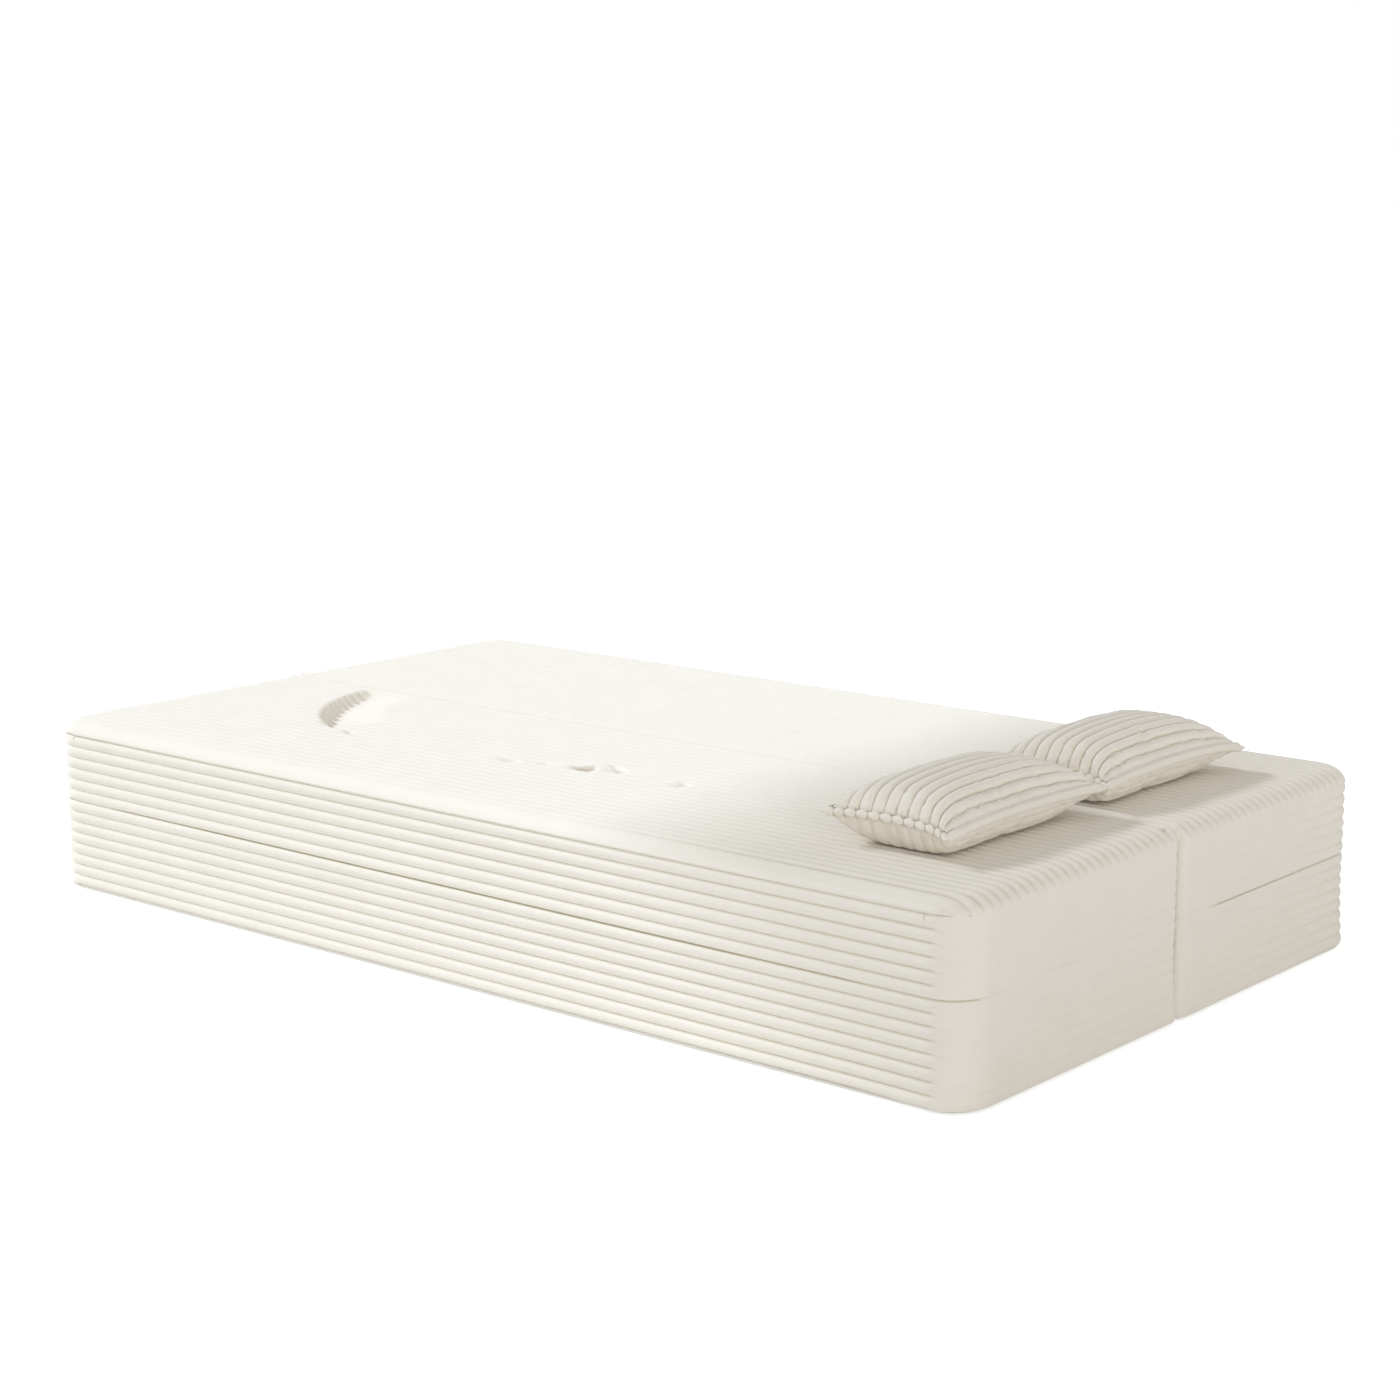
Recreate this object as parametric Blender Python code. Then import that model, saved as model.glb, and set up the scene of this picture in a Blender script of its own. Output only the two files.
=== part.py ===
"""Floor sofa bed: two long cushion stacks side by side, each of two layers joined by a fabric hinge.

The bed lies along X with its head end at +X. The front stack is on the -Y side and the rear stack on the +Y side.
The origin is at the middle of the footprint, on the floor. Metres, +Z up.
"""

import math

import bmesh
import bpy

MM = 0.001

# Driving sizes of one stack
stack_length = 1980 * MM
stack_width = 573 * MM
stack_gap = 4 * MM
lower_height = 160 * MM
upper_height = 144.4 * MM
layer_gap = 0.6 * MM
corner_radius = 68 * MM
inner_corner_radius = 20 * MM

# Cover: ribbed plush side bands, panels and the rolled top edges
rib_depth = 4.5 * MM
band_thickness = 10 * MM
panel_thickness = 4 * MM
panel_inset = 0.5 * MM
base_inset = 2 * MM
edge_roll = 40 * MM
inner_roll = 12 * MM
edge_drop = 26 * MM
lower_rib_count = 8
upper_rib_count = 6
top_rib_count = 28
seat_clearance = 0.3 * MM

# Fabric hinge in the outer edge of each stack
hinge_length = 1800 * MM
hinge_width = 24 * MM
hinge_cloth = 0.8 * MM
hinge_standoff = 0.5 * MM

# Zip across the foot end of each cover
zip_end_margin = 18 * MM
zip_tape_height = 26 * MM
zip_tape_thickness = 1 * MM
zip_chain_height = 6 * MM
zip_chain_thickness = 2 * MM
zip_pocket_depth = 5.5 * MM
zip_pocket_border = 1 * MM
slider_length = 11 * MM
slider_wall = 1 * MM
slider_end_margin = 6 * MM

# Hook-and-loop pads that hold the stacks together
pad_length = 120 * MM
pad_height = 50 * MM
pad_pair_clearance = 0.6 * MM

# Pillows, measured across the sewn edge once they are stuffed
pillow_depth = 236 * MM
pillow_width = 405 * MM
pillow_seam_height = 50 * MM
pillow_top_rise = 58 * MM
pillow_sink = 3 * MM
pillow_flange = 9 * MM
pillow_flange_thickness = 2.5 * MM
pillow_pull = 7 * MM
pillow_shell = 4 * MM
pillow_rib_depth = 3.5 * MM
pillow_rib_count = 12
pillow_head_distance = 238 * MM
pillow_pair_gap = 18 * MM
pillow_pair_shift = 13 * MM

# Fineness of the faceted solids, and overruns of the cuts
corner_steps = 4
roll_steps = 40
cut_overrun = 3 * MM
quarter_turn = math.pi / 2

# Places along a size, as shares of it
rib_shoulder_shares = (0.0, 0.27, 0.73)
pad_place_shares = (-0.36, 0.0, 0.36)
roll_angle_shares = (0.0, 0.4, 1.0)
pillow_station_shares = (-1.0, -0.94, -0.84, -0.6, -0.2, 0.2, 0.6, 0.84, 0.94, 1.0)
pillow_inner_shares = (-1.0, -0.88, -0.5, 0.0, 0.5, 0.88, 1.0)
dome_power_share = 0.55
dome_flatness = 3.2

# Sizes that follow from the ones above
half_length = stack_length / 2
half_width = stack_width / 2
stack_offset = stack_gap / 2 + half_width
upper_bottom = lower_height + layer_gap
bed_height = upper_bottom + upper_height
seam_middle = lower_height + layer_gap / 2
hinge_axis = stack_gap / 2 + stack_width + hinge_standoff
core_inset = band_thickness + seat_clearance
zip_length = stack_width - 2 * (corner_radius + zip_end_margin)
pocket_height = zip_tape_height + 2 * zip_pocket_border
pillow_half_depth = pillow_depth / 2
pillow_half_width = pillow_width / 2


def hex_to_linear(code):
    """Linear red, green, blue and alpha of an sRGB hex colour."""
    values = [int(code[i : i + 2], 16) / 255 for i in (1, 3, 5)]
    linear = [v / 12.92 if v <= 0.04045 else ((v + 0.055) / 1.055) ** 2.4 for v in values]
    return (*linear, 1)


def make_material(name, colour, roughness, metallic=0.0):
    """A Principled BSDF material with one colour, roughness and metallic value."""
    material = bpy.data.materials.new(name)
    material.use_nodes = True
    shader = material.node_tree.nodes["Principled BSDF"]
    shader.inputs["Base Color"].default_value = hex_to_linear(colour)
    shader.inputs["Roughness"].default_value = roughness
    shader.inputs["Metallic"].default_value = metallic
    return material


def make_empty(name, location, parent=None):
    """An empty that carries the pieces of one moving body."""
    empty = bpy.data.objects.new(name, None)
    empty.location = location
    empty.parent = parent
    bpy.context.scene.collection.objects.link(empty)
    return empty


def make_object(name, mesh_data, location, material, parent):
    """Turns a bmesh into a named object with its own material, faces outward."""
    bmesh.ops.recalc_face_normals(mesh_data, faces=mesh_data.faces)
    if mesh_data.calc_volume(signed=True) < 0:
        bmesh.ops.reverse_faces(mesh_data, faces=mesh_data.faces)
    mesh = bpy.data.meshes.new(name)
    mesh_data.to_mesh(mesh)
    mesh_data.free()
    made = bpy.data.objects.new(name, mesh)
    made.location = location
    made.parent = parent
    if material is not None:
        mesh.materials.append(material)
    bpy.context.scene.collection.objects.link(made)
    return made


def make_cutter(target, mesh_data):
    """Cuts a shape out of an object, both in the object's own coordinates."""
    cutter = make_object(target.name + "_cut", mesh_data, target.location, None, target.parent)
    cutter.hide_render = True
    cutter.display_type = "WIRE"
    cut = target.modifiers.new("cut", "BOOLEAN")
    cut.operation = "DIFFERENCE"
    cut.object = cutter


def plan_radius(side_y, outer_side):
    """Radius of the corners on one side of a stack: wide on the outer side, tight where it meets the other."""
    return corner_radius if side_y * outer_side > 0 else inner_corner_radius


def stack_outline(inset, outer_side):
    """The stack's plan outline, moved inward by inset, anticlockwise from its +X side."""
    points = []
    for corner, (side_x, side_y) in enumerate(((1, 1), (-1, 1), (-1, -1), (1, -1))):
        radius = plan_radius(side_y, outer_side)
        for step in range(corner_steps + 1):
            angle = quarter_turn * (corner + step / corner_steps)
            x = side_x * (half_length - radius) + (radius - inset) * math.cos(angle)
            y = side_y * (half_width - radius) + (radius - inset) * math.sin(angle)
            points.append((x, y))
    return points


def add_rows(mesh_data, rows, closed_rows, closed_columns):
    """Faces between rows of points, which may close round themselves either way."""
    vertices = [[mesh_data.verts.new(point) for point in row] for row in rows]
    row_count = len(rows) if closed_rows else len(rows) - 1
    column_count = len(rows[0]) if closed_columns else len(rows[0]) - 1
    for i in range(row_count):
        for j in range(column_count):
            lower, upper = vertices[i], vertices[(i + 1) % len(rows)]
            after = (j + 1) % len(rows[0])
            mesh_data.faces.new((lower[j], lower[after], upper[after], upper[j]))
    return vertices


def box_mesh(low, high):
    """A closed box between two corners."""
    mesh_data = bmesh.new()
    xs, ys, zs = zip(low, high)
    corners = [(0, 0), (1, 0), (1, 1), (0, 1)]
    rows = [[(xs[i], ys[j], z) for i, j in corners] for z in zs]
    vertices = add_rows(mesh_data, rows, False, True)
    mesh_data.faces.new(vertices[0])
    mesh_data.faces.new(vertices[1])
    return mesh_data


def extruded_mesh(profile, low, high, axis):
    """A closed profile of two coordinates, extruded along X (axis 0) or Y (axis 1)."""
    mesh_data = bmesh.new()
    if axis == 0:
        rows = [[(x, a, b) for a, b in profile] for x in (low, high)]
    else:
        rows = [[(a, y, b) for a, b in profile] for y in (low, high)]
    vertices = add_rows(mesh_data, rows, False, True)
    mesh_data.faces.new(vertices[0])
    mesh_data.faces.new(vertices[1])
    return mesh_data


def slab_mesh(inset, low, high, outer_side):
    """A flat slab with the stack's outline, moved inward by inset."""
    mesh_data = bmesh.new()
    rows = [[(x, y, z) for x, y in stack_outline(inset, outer_side)] for z in (low, high)]
    vertices = add_rows(mesh_data, rows, False, True)
    mesh_data.faces.new(vertices[0])
    mesh_data.faces.new(vertices[1])
    return mesh_data


def band_mesh(low, high, rib_count, outer_side):
    """The ribbed side band, a ring round the cushion with horizontal ribs on its outer side."""
    pitch = (high - low) / rib_count
    profile = []
    for rib in range(rib_count):
        for share in rib_shoulder_shares:
            inset = 0 if share else rib_depth
            profile.append((inset, low + (rib + share) * pitch))
    profile.append((rib_depth, high))
    profile.append((band_thickness, high))
    profile.append((band_thickness, low))
    mesh_data = bmesh.new()
    rows = [[(x, y, z) for x, y in stack_outline(inset, outer_side)] for inset, z in profile]
    add_rows(mesh_data, rows, True, True)
    return mesh_data


def outline_end(y, outer_side):
    """How far the stack's outline reaches along X at a place across it."""
    radius = plan_radius(y, outer_side)
    past_straight = max(0, abs(y) - (half_width - radius))
    return half_length - radius + math.sqrt(max(0, radius**2 - past_straight**2))


def outline_depth(x, y, outer_side):
    """Distance inward from the stack's outline, and the outward direction there."""
    radius = plan_radius(y, outer_side)
    over_x = abs(x) - (half_length - radius)
    over_y = abs(y) - (half_width - radius)
    if over_x > 0 and over_y > 0:
        reach = math.hypot(over_x, over_y)
        outward = (math.copysign(over_x / reach, x), math.copysign(over_y / reach, y))
        return radius - reach, outward
    if over_x > over_y:
        return half_length - abs(x), (math.copysign(1, x), 0)
    return half_width - abs(y), (0, math.copysign(1, y))


def rolled_point(x, y, rim, groove, outer_side):
    """A point of the top panel above (x, y): the edge rolls down to the rim, and a groove sinks along the normal.

    The roll is wide along the outer side and the ends, and tight along the side that meets the other stack.
    """
    depth, outward = outline_depth(x, y, outer_side)
    inner_share = max(0, -outer_side * outward[1]) ** 2
    roll = edge_roll + (inner_roll - edge_roll) * inner_share
    cosine = min(1, max(0, 1 - depth / roll))
    sine = math.sqrt(1 - cosine**2)
    slope = math.hypot(cosine / roll, sine / edge_drop)
    sideways = groove * cosine / roll / slope
    downward = groove * sine / edge_drop / slope
    return (x - outward[0] * sideways, y - outward[1] * sideways, rim + edge_drop * sine - downward)


def roll_places(roll):
    """Places across an edge that rolls down over the given width, as (arc length, distance inward) pairs."""
    places = [(0.0, 0.0)]
    for step in range(roll_steps):
        angle = quarter_turn * (step + 0.5) / roll_steps
        arc = quarter_turn / roll_steps * math.hypot(roll * math.sin(angle), edge_drop * math.cos(angle))
        inward = roll * (1 - math.cos(quarter_turn * (step + 1) / roll_steps))
        places.append((places[-1][0] + arc, inward))
    return places


def rolled_inward(arc, places):
    """Distance inward from the outline at an arc length up a rolled edge."""
    for (arc_a, in_a), (arc_b, in_b) in zip(places, places[1:]):
        if arc <= arc_b:
            break
    return in_a + (in_b - in_a) * (arc - arc_a) / (arc_b - arc_a)


def across_places(outer_side):
    """Places across the top panel, crest and groove in turn, evenly spaced along its curved surface."""
    outer, inner = roll_places(edge_roll), roll_places(inner_roll)
    outer_arc, inner_arc = outer[-1][0], inner[-1][0]
    whole_arc = outer_arc + stack_width - edge_roll - inner_roll + inner_arc
    places = []
    for index in range(2 * top_rib_count + 1):
        arc = whole_arc * index / (2 * top_rib_count)
        if arc < outer_arc:
            from_outer = rolled_inward(arc, outer)
        elif arc > whole_arc - inner_arc:
            from_outer = stack_width - rolled_inward(whole_arc - arc, inner)
        else:
            from_outer = edge_roll + arc - outer_arc
        places.append((outer_side * (half_width - from_outer), index % 2 == 0))
    return places


def lid_mesh(rim, outer_side):
    """The top panel with its wadding: lengthwise ribs, and edges that roll down to a flat underside."""
    insets = [edge_roll * (1 - math.cos(quarter_turn * share)) for share in roll_angle_shares]
    insets.append(corner_radius)
    rows = []
    for y, is_groove in across_places(outer_side):
        end = outline_end(y, outer_side)
        xs = [-end + inset for inset in insets] + [end - inset for inset in reversed(insets)]
        groove = rib_depth if is_groove else 0
        rows.append([rolled_point(x, y, rim, groove, outer_side) for x in xs])
    mesh_data = bmesh.new()
    vertices = add_rows(mesh_data, rows, False, False)
    border = [row[0] for row in vertices]
    border += vertices[-1][1:]
    border += [row[-1] for row in reversed(vertices[:-1])]
    border += list(reversed(vertices[0][1:-1]))
    mesh_data.faces.new(border)
    return mesh_data


def dome(along, across):
    """Height of a stuffed pillow's dome, from 0 at its edge to 1 in the middle, for places from -1 to 1."""
    rise_along = max(0, 1 - abs(along) ** dome_flatness) ** dome_power_share
    rise_across = max(0, 1 - abs(across) ** dome_flatness) ** dome_power_share
    return rise_along * rise_across


def pillow_place(u, v, inset):
    """Plan position on the pillow for places from -1 to 1, with sides that pull in between the corners."""
    x = u * (pillow_half_depth - inset - pillow_pull * (1 - v**2))
    y = v * (pillow_half_width - inset - pillow_pull * (1 - u**2))
    return x, y


def pillow_outer_height(u, v, x, y, rise, sink, rib):
    """Height of the cover over the seam plane: a flat sewn flange, then the dome, less a groove between ribs.

    A pillow that sinks against what it rests on is flat over the part of the dome that would reach past the rise.
    """
    reach_x = pillow_half_depth - pillow_flange - pillow_pull * (1 - v**2)
    reach_y = pillow_half_width - pillow_flange - pillow_pull * (1 - u**2)
    full = rise - pillow_flange_thickness
    lifted = min(full, (full + sink) * dome(x / reach_x, y / reach_y))
    groove = 0 if rib else min(pillow_rib_depth, lifted + pillow_flange_thickness / 2)
    return pillow_flange_thickness + lifted - groove


def pillow_panel_mesh(rise, sink, side):
    """One sewn panel of a pillow: a ribbed shell over the filling, with side 1 for the top and -1 for the bottom."""
    seam = side * seat_clearance / 2
    mesh_data = bmesh.new()
    rows = []
    for index in range(2 * pillow_rib_count + 1):
        u = index / pillow_rib_count - 1
        row = []
        for v in pillow_station_shares:
            x, y = pillow_place(u, v, 0)
            height = pillow_outer_height(u, v, x, y, rise, sink, index % 2 == 1)
            row.append((x, y, seam + side * height))
        rows.append(row)
    outer = add_rows(mesh_data, rows, False, False)
    border = [row[0] for row in outer]
    border += outer[-1][1:]
    border += [row[-1] for row in reversed(outer[:-1])]
    border += list(reversed(outer[0][1:-1]))
    rim = [mesh_data.verts.new((vertex.co.x, vertex.co.y, seam)) for vertex in border]
    rim_edges = []
    for i, vertex in enumerate(border):
        after = (i + 1) % len(border)
        mesh_data.faces.new((vertex, border[after], rim[after], rim[i]))
        rim_edges.append(mesh_data.edges.get((rim[i], rim[after])))
    hollow_inset = pillow_flange + pillow_shell
    inner = add_rows(mesh_data, pillow_inner_rows(rise, side, seam, hollow_inset, 0), False, False)
    inner_border = [row[0] for row in inner]
    inner_border += inner[-1][1:]
    inner_border += [row[-1] for row in reversed(inner[:-1])]
    inner_border += list(reversed(inner[0][1:-1]))
    for i, vertex in enumerate(inner_border):
        rim_edges.append(mesh_data.edges.get((vertex, inner_border[(i + 1) % len(inner_border)])))
    bmesh.ops.triangle_fill(mesh_data, edges=rim_edges, use_beauty=True)
    return mesh_data


def pillow_inner_rows(rise, side, seam, inset, clearance):
    """Rows of points over the pillow's inside, for the hollow of a panel or, with a clearance, for the filling."""
    inner_rise = rise - pillow_rib_depth - pillow_shell - clearance
    rows = []
    for u in pillow_inner_shares:
        row = []
        for v in pillow_inner_shares:
            x, y = pillow_place(u, v, inset + clearance)
            height = inner_rise * dome(u, v)
            row.append((x, y, seam + side * height))
        rows.append(row)
    return rows


def pillow_filling_mesh(top_rise, bottom_rise):
    """The pillow's filling, a stuffed block that stands clear of the cover all round."""
    inset = pillow_flange + pillow_shell
    mesh_data = bmesh.new()
    for rise, side in ((top_rise, 1), (bottom_rise, -1)):
        rows = pillow_inner_rows(rise, side, 0, inset, 2 * seat_clearance)
        add_rows(mesh_data, rows, False, False)
    bmesh.ops.remove_doubles(mesh_data, verts=mesh_data.verts, dist=seat_clearance / 10)
    return mesh_data


def add_zip(prefix, height, location, carrier, materials):
    """A zip across the foot end of a cover: a pocket in the band, its tape with the closed chain, and the slider."""
    band = bpy.data.objects[prefix + "_side_band"]
    pocket_floor = zip_pocket_depth - half_length
    pocket_reach = zip_length / 2 + zip_pocket_border
    make_cutter(
        band,
        box_mesh(
            (-half_length - cut_overrun, -pocket_reach, height - pocket_height / 2),
            (pocket_floor, pocket_reach, height + pocket_height / 2),
        ),
    )
    tape_back = pocket_floor - seat_clearance
    tape_face = tape_back - zip_tape_thickness
    chain_face = tape_face - zip_chain_thickness
    tape_half = zip_tape_height / 2
    chain_half = zip_chain_height / 2
    tape_profile = [
        (tape_back, height - tape_half),
        (tape_back, height + tape_half),
        (tape_face, height + tape_half),
        (tape_face, height + chain_half),
        (chain_face, height + chain_half),
        (chain_face, height - chain_half),
        (tape_face, height - chain_half),
        (tape_face, height - tape_half),
    ]
    tape = extruded_mesh(tape_profile, -zip_length / 2, zip_length / 2, 1)
    make_object(prefix + "_zip_tape", tape, location, materials["zip_tape"], carrier)

    inner_half = chain_half + seat_clearance
    outer_half = inner_half + slider_wall
    skirt = tape_face - seat_clearance
    roof_inside = chain_face - seat_clearance
    roof_outside = roof_inside - slider_wall
    slider_profile = [
        (skirt, -outer_half),
        (skirt, -inner_half),
        (roof_inside, -inner_half),
        (roof_inside, inner_half),
        (skirt, inner_half),
        (skirt, outer_half),
        (roof_outside, outer_half),
        (roof_outside, -outer_half),
    ]
    slider_y = slider_end_margin + slider_length / 2 - zip_length / 2
    slider = extruded_mesh(
        [(x - roof_inside, z) for x, z in slider_profile], -slider_length / 2, slider_length / 2, 1
    )
    slider_place = (location[0] + roof_inside, location[1] + slider_y, location[2] + height)
    make_object(prefix + "_zip_slider", slider, slider_place, materials["zip_metal"], carrier)


def add_cushion(prefix, is_upper, location, carrier, hinge_side, materials):
    """One cushion: base panel, side band, top panel and foam core, with its zip. location is its bottom centre."""
    height = upper_height if is_upper else lower_height
    rib_count = upper_rib_count if is_upper else lower_rib_count
    top_thickness = edge_drop if is_upper else panel_thickness
    band_low = panel_thickness + seat_clearance
    band_high = height - top_thickness - seat_clearance
    plush = materials["plush"]

    inset = panel_inset if is_upper else base_inset
    base = slab_mesh(inset, 0, panel_thickness, hinge_side)
    base_material = plush if is_upper else materials["grip_cloth"]
    base = make_object(prefix + "_base_panel", base, location, base_material, carrier)

    band = band_mesh(band_low, band_high, rib_count, hinge_side)
    make_object(prefix + "_side_band", band, location, plush, carrier)

    core = slab_mesh(core_inset, band_low, band_high, hinge_side)
    make_object(prefix + "_foam_core", core, location, materials["foam"], carrier)

    if is_upper:
        top = lid_mesh(height - edge_drop, hinge_side)
    else:
        top = slab_mesh(panel_inset, height - panel_thickness, height, hinge_side)
    top = make_object(prefix + "_top_panel", top, location, plush, carrier)

    rebated = base if is_upper else top
    rebate_depth = hinge_cloth + seat_clearance
    low = -cut_overrun if is_upper else height - rebate_depth
    high = rebate_depth if is_upper else height + cut_overrun
    ys = sorted(
        (
            hinge_side * (half_width + cut_overrun),
            hinge_side * (half_width - hinge_width - seat_clearance),
        )
    )
    reach = hinge_length / 2 + seat_clearance
    make_cutter(rebated, box_mesh((-reach, ys[0], low), (reach, ys[1], high)))

    add_zip(prefix, (band_low + band_high) / 2, location, carrier, materials)


def add_hinge_strip(name, side, carrier, materials):
    """The folded cloth strip in the seam: one leaf lies on the lower cushion, the other under the upper one."""
    fold = half_width - panel_inset
    outside = side * fold
    inside = side * (fold - hinge_cloth)
    end = side * (half_width - hinge_width)
    low, high = lower_height, lower_height + layer_gap
    profile = [
        (outside, low - hinge_cloth),
        (end, low - hinge_cloth),
        (end, low),
        (inside, low),
        (inside, high),
        (end, high),
        (end, high + hinge_cloth),
        (outside, high + hinge_cloth),
    ]
    strip = extruded_mesh(profile, -hinge_length / 2, hinge_length / 2, 0)
    place = (0, side * stack_offset - carrier.location[1], 0)
    make_object(name, strip, place, materials["hinge_cloth"], carrier)


def add_pads(name, side, carrier, material):
    """The row of fastening pads on the inner side of a lower cushion."""
    thickness = (stack_gap - 2 * seat_clearance - pad_pair_clearance) / 2
    near = side * pad_pair_clearance / 2
    far = side * (pad_pair_clearance / 2 + thickness)
    ys = sorted((near - carrier.location[1], far - carrier.location[1]))
    for number, share in enumerate(pad_place_shares, 1):
        pad = box_mesh((-pad_length / 2, ys[0], -pad_height / 2), (pad_length / 2, ys[1], pad_height / 2))
        place = (share * stack_length, 0, lower_height / 2)
        make_object(name + "_" + str(number), pad, place, material, carrier)


def add_pillow(prefix, centre_y, carrier, carrier_place, materials):
    """A loose pillow: two sewn panels and the filling, on an empty at its seam's centre."""
    bottom_rise = pillow_seam_height - 1.5 * seat_clearance
    centre = (half_length - pillow_head_distance, centre_y, bed_height + pillow_seam_height)
    place = [value - offset for value, offset in zip(centre, carrier_place)]
    body = make_empty(prefix + "_lift", place, carrier)
    top = pillow_panel_mesh(pillow_top_rise, 0, 1)
    make_object(prefix + "_top_panel", top, (0, 0, 0), materials["plush"], body)
    bottom = pillow_panel_mesh(bottom_rise, pillow_sink, -1)
    make_object(prefix + "_bottom_panel", bottom, (0, 0, 0), materials["plush"], body)
    filling = pillow_filling_mesh(pillow_top_rise, bottom_rise)
    make_object(prefix + "_filling", filling, (0, 0, 0), materials["fibre"], body)


def add_stack(name, side, materials):
    """One stack of two cushions with its hinge strip. side is -1 for the front and 1 for the rear."""
    middle = side * stack_offset
    base = make_empty(name + "_stack", (0, middle, 0))
    add_cushion(name + "_lower", False, (0, 0, 0), base, side, materials)
    add_hinge_strip(name + "_hinge_strip", side, base, materials)
    axis_place = (0, side * hinge_axis - middle, seam_middle)
    fold = make_empty(name + "_fold", axis_place, base)
    upper_place = (0, -axis_place[1], upper_bottom - seam_middle)
    add_cushion(name + "_upper", True, upper_place, fold, side, materials)
    return base, fold


def build():
    """Builds the whole bed."""
    materials = {
        "plush": make_material("ribbed_plush", "#F1EEE5", 0.95),
        "grip_cloth": make_material("dotted_grip_cloth", "#D9D4C8", 0.9),
        "foam": make_material("polyurethane_foam", "#F3E7B8", 0.9),
        "fibre": make_material("polyester_fibre", "#FAFAF7", 0.95),
        "hinge_cloth": make_material("woven_hinge_cloth", "#E6E0D2", 0.9),
        "zip_tape": make_material("polyester_zip_tape", "#EFEBE0", 0.85),
        "zip_metal": make_material("nickel_zip_slider", "#C9C7C2", 0.35, 1.0),
        "hook": make_material("nylon_hook_pad", "#ECE8DC", 0.8),
        "loop": make_material("nylon_loop_pad", "#F0EDE3", 0.95),
    }
    front_base, front_fold = add_stack("front", -1, materials)
    rear_base, rear_fold = add_stack("rear", 1, materials)
    add_pads("hook_pad", -1, front_base, materials["hook"])
    add_pads("loop_pad", 1, rear_base, materials["loop"])
    reach = pillow_pair_gap / 2 + pillow_half_width
    for name, side, fold in (("front", -1, front_fold), ("rear", 1, rear_fold)):
        fold_place = (0, side * hinge_axis, seam_middle)
        add_pillow(name + "_pillow", side * reach - pillow_pair_shift, fold, fold_place, materials)


for leftover in list(bpy.data.objects):
    bpy.data.objects.remove(leftover)
build()
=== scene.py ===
# %% [markdown]
# # A floor sofa bed in ribbed plush
# The bed is two long stacks of cushions that lie side by side, with two loose pillows at the head end (+X). Each
# stack is a lower and an upper cushion, joined along the outer long edge by a folded strip of cloth, so that the
# upper cushion swings outward to widen the bed. The engineering model gives every piece its place and its joint.
# This script gives every piece its surface. Nothing here moves a piece: all shapes are worked out from the boxes
# of the model's own pieces, in metres, with the floor at Z = 0.

# %% Load the frame
import math

import bpy
import numpy as np
from mathutils import Matrix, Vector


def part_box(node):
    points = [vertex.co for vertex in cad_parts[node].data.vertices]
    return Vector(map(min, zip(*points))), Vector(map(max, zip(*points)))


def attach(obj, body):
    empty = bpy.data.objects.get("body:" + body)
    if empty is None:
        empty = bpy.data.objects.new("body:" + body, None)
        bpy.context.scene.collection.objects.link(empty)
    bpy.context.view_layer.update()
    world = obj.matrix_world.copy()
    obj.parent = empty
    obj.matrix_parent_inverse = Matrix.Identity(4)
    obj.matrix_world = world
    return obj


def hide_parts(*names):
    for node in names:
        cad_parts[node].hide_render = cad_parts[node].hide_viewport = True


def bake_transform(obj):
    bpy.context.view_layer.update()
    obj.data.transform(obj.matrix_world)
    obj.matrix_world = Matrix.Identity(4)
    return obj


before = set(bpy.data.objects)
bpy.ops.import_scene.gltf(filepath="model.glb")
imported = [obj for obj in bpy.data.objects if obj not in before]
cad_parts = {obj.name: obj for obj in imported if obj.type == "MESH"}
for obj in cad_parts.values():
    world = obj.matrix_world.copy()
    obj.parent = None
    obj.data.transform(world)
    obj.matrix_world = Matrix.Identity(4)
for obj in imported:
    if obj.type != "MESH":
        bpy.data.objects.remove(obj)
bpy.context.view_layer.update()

# %% [markdown]
# ## The camera
# The picture was taken from the head end, a little above the bed, with a long lens. A pinhole camera was fitted
# to the bed's corners and seams, which gives the eye, the way the camera faces and its focal length. A camera
# looks along its own -Z, so its axes are built from the direction back to the eye. Building the matrix from
# three unit vectors is safer than turning the camera by angles, because no rotation order can be mixed up. The
# lamps use the same function.

# %% Place the camera
EYE = (2.9803, -3.5064, 1.2661)
BACKWARD = (0.6297, -0.7531, 0.1905)
FOCAL_LENGTH_MM = 70.3


def looking_from(backward):
    """The turn of a level camera or lamp that stands in the direction backward from what it faces."""
    back = np.array(backward) / np.linalg.norm(backward)
    right = np.cross((0, 0, 1), back)
    right /= np.linalg.norm(right)
    return Matrix(np.column_stack((right, np.cross(back, right), back)).tolist()).to_4x4()


camera_data = bpy.data.cameras.new("photo_camera")
camera_data.lens = FOCAL_LENGTH_MM
camera_data.clip_end = 200
camera = bpy.data.objects.new("photo_camera", camera_data)
camera.matrix_world = Matrix.Translation(EYE) @ looking_from(BACKWARD)
bpy.context.scene.collection.objects.link(camera)
bpy.context.scene.camera = camera
print("camera: lens", FOCAL_LENGTH_MM, "mm")

# %% [markdown]
# ## Sizes
# The overall sizes are read from the boxes of the model's pieces, so the surface always fits the frame. The
# small sizes of the sewing, such as how deep a groove between two ribs is, are named values close to the model's
# own.

# %% Read the sizes
MM = 0.001
CORNER_RADIUS = 68 * MM
INNER_CORNER_RADIUS = 20 * MM
RIB_DEPTH = 4.8 * MM
RIM_ROLL = 40 * MM
INNER_RIM_ROLL = 9 * MM
TOP_RIB_COUNT = 28
SIDE_RIB_COUNTS = {"lower": 8, "upper": 6}
STACK_SIDES = {"front": -1, "rear": 1}

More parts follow.
